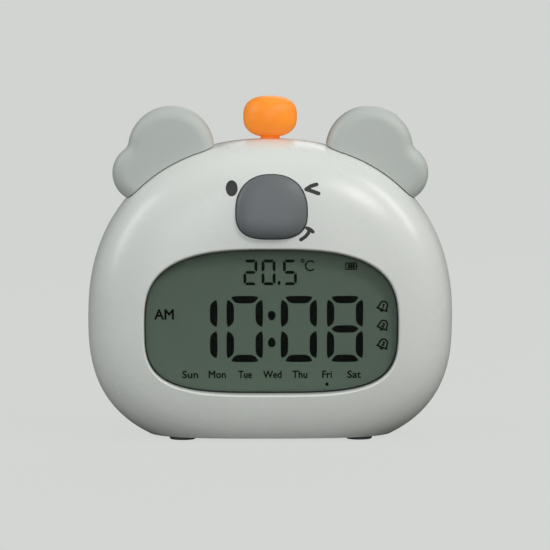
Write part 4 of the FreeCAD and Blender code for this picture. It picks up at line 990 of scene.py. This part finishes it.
screws = cad_copy("cover_screws", "cover_screws_crossed")
quarter = [(CROSS_REACH, -CROSS_HALF), (CROSS_REACH, CROSS_HALF), (CROSS_HALF, CROSS_HALF)]
cross = []
for turn in range(4):
    for x, z in quarter:
        for _ in range(turn):
            x, z = -z, x
        cross.append((x, z))
for screw_x, screw_z in SCREW_PLACES:
    tool = skin([[place(screw_x + x, y, screw_z + z) for x, z in cross]
                 for y in (SCREW_TOP - CROSS_DEEP, SCREW_TOP + CROSS_DEEP)])
    carve(screws, solid("cross_tool", tool))
carry_normals(screws, nodes["cover_screws"].data)
settle(screws, "housing", "steel", "cover_screws")
print("screw faces", len(screws.data.polygons))

# %% [markdown]
# The face is pad-printed on the domed front: an open oval eye, a wink of two strokes and a small
# mouth beside the nose. The ink lies a few hundredths of a millimetre proud of the dome.

# %% Face prints
INK_CELL = 0.16
INK_LIFT = 0.05
INK_SINK = 0.03
EYE_MIDDLE = (-13.3, 85.7)
EYE_HALF = (1.98, 2.66)
WINK_HALF = 0.63
WINK_UPPER = [(11.6, 85.35), (13.2, 86.4), (15.1, 86.95)]
WINK_LOWER = [(11.6, 85.35), (13.8, 84.65), (15.75, 83.95)]
MOUTH_HALF = 0.6
MOUTH_BAR = [(11.85, 72.45), (12.9, 72.0), (13.8, 71.2)]
MOUTH_CURVE = [(12.7, 71.9), (12.3, 70.8), (11.3, 69.6), (9.8, 68.6)]
wink = to_paths((WINK_UPPER, WINK_HALF), (WINK_LOWER, WINK_HALF))
mouth = to_paths((MOUTH_BAR, MOUTH_HALF), (MOUTH_CURVE, MOUTH_HALF))
PRINTS = (
    ("print_eye", "eye_ink", lambda x, z: to_oval(x, z, EYE_MIDDLE, *EYE_HALF), (-16, 82), (-10, 90)),
    ("print_wink", "face_ink", wink, (10, 82), (18, 89)),
    ("print_mouth", "face_ink", mouth, (8, 66.5), (16, 74.5)))
for name, ink, distance, low, high in PRINTS:
    inked(name, sheet_of(distance, low, high, INK_CELL, on_face, INK_LIFT, INK_SINK), ink)
print("printed", [row[0] for row in PRINTS])

# %% [markdown]
# The time is shown by seven-segment digits. Each segment is a spindle: full in the middle, pointed
# at its ends, with the points leaning to the outside of the digit, so that neighbouring segments
# meet at a mitre with a thin gap.

# %% Segments of the display
DISPLAY_FRONT = min(v.co.y for v in nodes["lcd_panel"].data.vertices) / MM
SEGMENT_THICK = 0.05
SEGMENT_STEPS = 14


def spindle(length, width, power, lean):
    """Outline along the X axis. Lean moves the points to one side, as a share of half the width."""
    upper, lower = [], []
    for i in range(SEGMENT_STEPS + 1):
        t = -math.cos(math.pi * i / SEGMENT_STEPS)
        swell = 1 - abs(t) ** power
        shift = lean * abs(t) ** power
        upper.append((t * length / 2, width / 2 * (shift + swell)))
        lower.append((t * length / 2, width / 2 * (shift - swell)))
    return upper + lower[-2:0:-1]


def add_plate(mesh, outline):
    """Adds an extruded outline, in X and Z in millimetres, on the display's glass."""
    front = [mesh.verts.new(place(x, DISPLAY_FRONT - SEGMENT_THICK, z)) for x, z in outline]
    back = [mesh.verts.new(place(x, DISPLAY_FRONT, z)) for x, z in outline]
    mesh.faces.new(front)
    mesh.faces.new(back[::-1])
    for i in range(len(outline)):
        j = (i + 1) % len(outline)
        mesh.faces.new([front[j], front[i], back[i], back[j]])


UPRIGHT_FROM_MIDDLE = 0.28
UPRIGHT_FROM_END = 0.52
BAR_FROM_SIDE = 0.63
LIT = {"0": "abcdef", "1": "bc", "2": "abged", "5": "afgcd", "8": "abcdefg"}


def add_digit(mesh, figure, left, bottom, width, height, stroke, power, lean):
    """Adds the lit segments of one figure, named a to g clockwise from the top, g in the middle."""
    mid_x = left + width / 2
    mid_z = bottom + height / 2
    inner, outer = UPRIGHT_FROM_MIDDLE * stroke, height / 2 - UPRIGHT_FROM_END * stroke
    upright, reach = outer - inner, (outer + inner) / 2
    across = width - 2 * BAR_FROM_SIDE * stroke
    near, far = left + stroke / 2, left + width - stroke / 2
    places = {
        "a": (mid_x, bottom + height - stroke / 2, 0, across), "d": (mid_x, bottom + stroke / 2, 180, across),
        "g": (mid_x, mid_z, 0, across),
        "b": (far, mid_z + reach, -90, upright), "c": (far, mid_z - reach, -90, upright),
        "f": (near, mid_z + reach, 90, upright), "e": (near, mid_z - reach, 90, upright)}
    for letter in LIT[figure]:
        x, z, turn, length = places[letter]
        c, s = math.cos(math.radians(turn)), math.sin(math.radians(turn))
        outline = [(x + c * px - s * pz, z + s * px + c * pz)
                   for px, pz in spindle(length, stroke, power, 0 if letter == "g" else lean)]
        add_plate(mesh, outline)


print("display front at y =", round(DISPLAY_FRONT, 2), "mm")

# %% [markdown]
# The time fills the middle of the display, and the temperature stands small above it. The colon is
# two drops whose points look away from each other.

# %% Time, temperature and colon
# Name, then bottom, width, height, stroke, power and lean of its figures, and where each starts.
NUMBERS = (
    ("display_time", 26.97, 12.25, 22.35, 2.5, 5.0, 0.7,
     (("1", -30.39), ("0", -15.07), ("0", 3.18), ("8", 18.72))),
    ("display_temperature", 52.95, 4.7, 8.65, 1.0, 6.0, 0.5, (("2", -9.38), ("0", -3.27), ("5", 3.91))))
for name, bottom, *form, figures in NUMBERS:
    mesh = bmesh.new()
    for figure, left in figures:
        add_digit(mesh, figure, left, bottom, *form)
    inked(name, mesh, "segment_ink")

COLON_X = 0.15
COLON_HALF = 1.3
COLON_POINT = 2.0
COLON_SIDE = ((0.97, 0.25), (0.84, 0.5), (0.6, 0.75), (0.3, 0.93))
COLON_STEPS = 18
COLON_PLACES = ((43.0, -1), (33.3, 1))
mesh = bmesh.new()
for z, way in COLON_PLACES:
    rim = arc((0, 0), COLON_HALF, -180, 0, COLON_STEPS)
    rim += [(COLON_HALF * across, COLON_POINT * ahead) for across, ahead in COLON_SIDE]
    rim.append((0, COLON_POINT))
    rim += [(-COLON_HALF * across, COLON_POINT * ahead) for across, ahead in reversed(COLON_SIDE)]
    add_plate(mesh, [(COLON_X + px, z + way * pz) for px, pz in rim])
inked("display_colon", mesh, "segment_ink")
print("numbers", [row[0] for row in NUMBERS])

# %% [markdown]
# The words on the display are plain sans-serif letters, a little bolder than the usual cut. A text
# object gives their outline, and a point's distance to that outline, less the extra boldness, draws
# them as a thin plate like the other marks.

# %% Words drawn by distance
def on_display(x, z):
    return DISPLAY_FRONT, -1


def word_edges(text, left, bottom, height, width=None, mirror=False):
    """The outline of a word that stands on bottom, its capitals as tall as height."""
    curve = bpy.data.curves.new("word", "FONT")
    curve.body = text
    curve.resolution_u = 3
    holder = in_scene("word", curve)
    bpy.context.view_layer.update()
    flat = evaluated_mesh(holder)
    bpy.data.objects.remove(holder)
    mesh = bmesh.new()
    mesh.from_mesh(flat)
    bmesh.ops.remove_doubles(mesh, verts=mesh.verts, dist=1e-5)
    start = min(v.co.x for v in mesh.verts)
    wide = max(v.co.x for v in mesh.verts) - start
    tall = max(v.co.y for v in mesh.verts)
    width = width or wide / tall * height
    flip = -1 if mirror else 1
    points = {v: (left + flip * (v.co.x - start) / wide * width, bottom + v.co.y / tall * height)
              for v in mesh.verts}
    edges = [(points[e.verts[0]], points[e.verts[1]]) for e in mesh.edges if e.is_boundary]
    mesh.free()
    return edges, width


def add_word(name, text, left, bottom, height, bold, cell, ground, width=None, mirror=False):
    """Ground is the surface that carries the word, how far it stands proud, and the ink."""
    surface, thick, ink = ground
    edges, _ = word_edges(text, left, bottom, height, width, mirror)

    def distance(x, z):
        nearest, inside = math.inf, False
        for (ax, az), (bx, bz) in edges:
            nearest = min(nearest, to_stroke(x, z, (ax, az), (bx, bz), 0))
            if (az > z) != (bz > z) and x < ax + (z - az) / (bz - az) * (bx - ax):
                inside = not inside
        return (-nearest if inside else nearest) - bold

    xs = [x for edge in edges for x, _ in edge]
    zs = [z for edge in edges for _, z in edge]
    low, high = (min(xs) - 2 * cell, min(zs) - 2 * cell), (max(xs) + 2 * cell, max(zs) + 2 * cell)
    inked(name, sheet_of(distance, low, high, cell, surface, thick, 0.0), ink)


ON_GLASS = (on_display, SEGMENT_THICK, "segment_ink")
WEEKDAYS = (("Sun", -30.04, -24.68), ("Mon", -21.14, -15.34), ("Tue", -11.13, -6.51), ("Wed", -2.76, 3.48),
            ("Thu", 7.05, 12.18), ("Fri", 17.18, 20.45), ("Sat", 25.62, 30.28))
WEEKDAY_FORM = (21.6, 2.4, 0.07, 0.11)
AM_FORM = (41.5, 3.3, 0.12, 0.13)
# Text, left and right side, then bottom, height, extra boldness and cell.
WORDS = [(*day, *WEEKDAY_FORM) for day in WEEKDAYS] + [("AM", -39.42, -32.78, *AM_FORM)]
for text, left, right, bottom, height, bold, cell in WORDS:
    add_word("display_" + text.lower(), text, left + bold, bottom, height, bold, cell, ON_GLASS,
             right - left - 2 * bold)
print("words", [row[0] for row in WORDS])

# %% [markdown]
# The five keys at the back have their names pad-printed under them in grey, as such clocks do. Seen
# from behind the row runs from the left to the right as it is written here.

# %% Names of the keys
on_back = surface_finder("rear_cover", False)
KEY_NAMES = ("LIGHT", "ALARM", "TIME", "UP", "DOWN")
KEY_STEP = 14.0
KEY_NAME_Z = 35.6
KEY_NAME_HEIGHT = 1.7
KEY_NAME_BOLD = 0.03
KEY_NAME_CELL = 0.12
for number, text in enumerate(KEY_NAMES):
    middle = KEY_STEP * (2 - number)
    _, wide = word_edges(text, 0, 0, KEY_NAME_HEIGHT)
    add_word("print_key_" + text.lower(), text, middle + wide / 2, KEY_NAME_Z, KEY_NAME_HEIGHT, KEY_NAME_BOLD,
             KEY_NAME_CELL, (on_back, INK_LIFT, "eye_ink"), mirror=True)
print("key names", KEY_NAMES)

# %% [markdown]
# The small signs are strokes: a ring and an arc for degrees Celsius, a battery with three bars, and
# three bells with their numbers. They are drawn by distance, like the face.

# %% Signs on the display
def sign(name, distance, low, high, cell=0.09):
    inked(name, sheet_of(distance, low, high, cell, on_display, SEGMENT_THICK, 0.0), "segment_ink")


DAY_DOT = (18.77, 19.44)
DAY_DOT_RADIUS = 0.6
sign("display_day_dot", lambda x, z: math.dist((x, z), DAY_DOT) - DAY_DOT_RADIUS, (17.5, 18), (20, 21))

DEGREE = (10.57, 61.2)
DEGREE_RADIUS = 0.46
DEGREE_HALF = 0.19
CELSIUS_ARC = arc((13.15, 59.5), 1.62, 48, 312, 24)
CELSIUS_HALF = 0.27


def to_celsius(x, z):
    degree = abs(math.dist((x, z), DEGREE) - DEGREE_RADIUS) - DEGREE_HALF
    return min(to_path(x, z, CELSIUS_ARC, CELSIUS_HALF), degree)


sign("display_celsius", to_celsius, (9.5, 57), (15.5, 62.5))

POINT_MIDDLE = (2.62, 53.7)
POINT_HALF = (0.5, 0.72)
sign("display_point", lambda x, z: to_oval(x, z, POINT_MIDDLE, *POINT_HALF), (1.5, 52.5), (4, 55))

BATTERY_FRAME = [(25.07, 58.3), (28.6, 58.3), (28.6, 60.38), (25.07, 60.38), (25.07, 58.3)]
BATTERY_HALF = 0.19
KNOB = [(28.85, 59.15), (28.85, 59.53)]
KNOB_HALF = 0.2
BARS = [[(x, 58.9), (x, 59.78)] for x in (26.129, 26.9409, 27.7528)]
BAR_HALF = 0.36
battery = to_paths((BATTERY_FRAME, BATTERY_HALF), (KNOB, KNOB_HALF), *[(bar, BAR_HALF) for bar in BARS])
sign("display_battery", battery, (24.5, 57.5), (29.8, 61.2), 0.07)

BELL_MIDDLES = ((37.75, 45.85), (37.75, 39.45), (37.75, 33.1))
BELL_TILT = -22
BELL_REACH = 2.8
BELL_HALF = 0.27
CLAPPER = [(-0.35, -1.78), (0.35, -1.78)]
CLAPPER_HALF = 0.24
FIGURE_HALF = 0.23
FIGURE_STROKES = {
    1: [(-0.22, 0.42), (0.05, 0.6), (0.05, -0.6)],
    2: [(-0.32, 0.4), (0.0, 0.6), (0.32, 0.38), (0.28, 0.08), (-0.32, -0.58), (0.36, -0.58)],
    3: [(-0.3, 0.55), (0.3, 0.55), (0.0, 0.12), (0.32, -0.15), (0.22, -0.5), (-0.05, -0.6), (-0.32, -0.45)]}


def bell_distance(number, middle):
    turn = math.radians(-BELL_TILT)
    c, s = math.cos(turn), math.sin(turn)
    dome = [(-1.75, -1.25), (-1.45, -0.9), (-1.3, 0.1)] + arc((0, 0.3), 1.3, 180, 0, 12) + \
           [(1.3, 0.1), (1.45, -0.9), (1.75, -1.25), (-1.75, -1.25)]
    upright = to_paths((dome, BELL_HALF), (CLAPPER, CLAPPER_HALF), (FIGURE_STROKES[number], FIGURE_HALF))

    def distance(x, z):
        px, pz = x - middle[0], z - middle[1]
        return upright(c * px - s * pz, s * px + c * pz)

    return distance


for number, (x, z) in enumerate(BELL_MIDDLES, 1):
    sign(f"display_bell_{number}", bell_distance(number, (x, z)), (x - BELL_REACH, z - BELL_REACH),
         (x + BELL_REACH, z + BELL_REACH), 0.08)
print("signs done, bells at", BELL_MIDDLES)

# %% [markdown]
# A plain table continues up into a backdrop in one bend, so there is no line behind the clock. The
# paper is dull grey to the lamps, so that it throws little light up under the clock, and to the
# camera it is paler, which keeps the soft shadow.

# %% Table and backdrop
TABLE_HALF = 2.2
TABLE_FRONT = -2.5
BEND_START = 1.2
BEND_RADIUS = 0.8
WALL_TOP = 2.6
PAPER_COLOUR = tint(112, 111, 106)
PAPER_OTHER = tint(108, 107, 103)
PAPER_SEEN = tint(230, 233, 230)
PAPER_GLOW = 0.78

mesh = bmesh.new()
profile = [(TABLE_FRONT, 0.0), (BEND_START, 0.0)]
profile += [(BEND_START + BEND_RADIUS * math.sin(a), BEND_RADIUS * (1 - math.cos(a)))
            for a in [math.radians(5 * i) for i in range(1, 19)]]
profile.append((BEND_START + BEND_RADIUS, WALL_TOP))
rows = [[mesh.verts.new((x, y, z)) for x in (-TABLE_HALF, TABLE_HALF)] for y, z in profile]
for lower, upper in zip(rows, rows[1:]):
    mesh.faces.new([lower[0], lower[1], upper[1], upper[0]])
backdrop = solid("backdrop", mesh)
backdrop.data.shade_smooth()
shader = moulded("backdrop_paper", PAPER_COLOUR, PAPER_OTHER, (0.75, 0.9), 300.0, 0.00002, 0.0,
                 PAPER_COLOUR, 0.0, tone_scale=2.0, gloss_scale=6.0)
paper = finishes["backdrop_paper"]
tree = paper.node_tree
glow = feed(add(tree, "Emission"), Color=PAPER_SEEN)
share = math_node(tree, "MULTIPLY", add(tree, "LightPath").outputs["Is Camera Ray"], PAPER_GLOW)
mix_shaders(tree, share, shader, glow)
backdrop.data.materials.append(paper)
print("backdrop rows", len(rows))
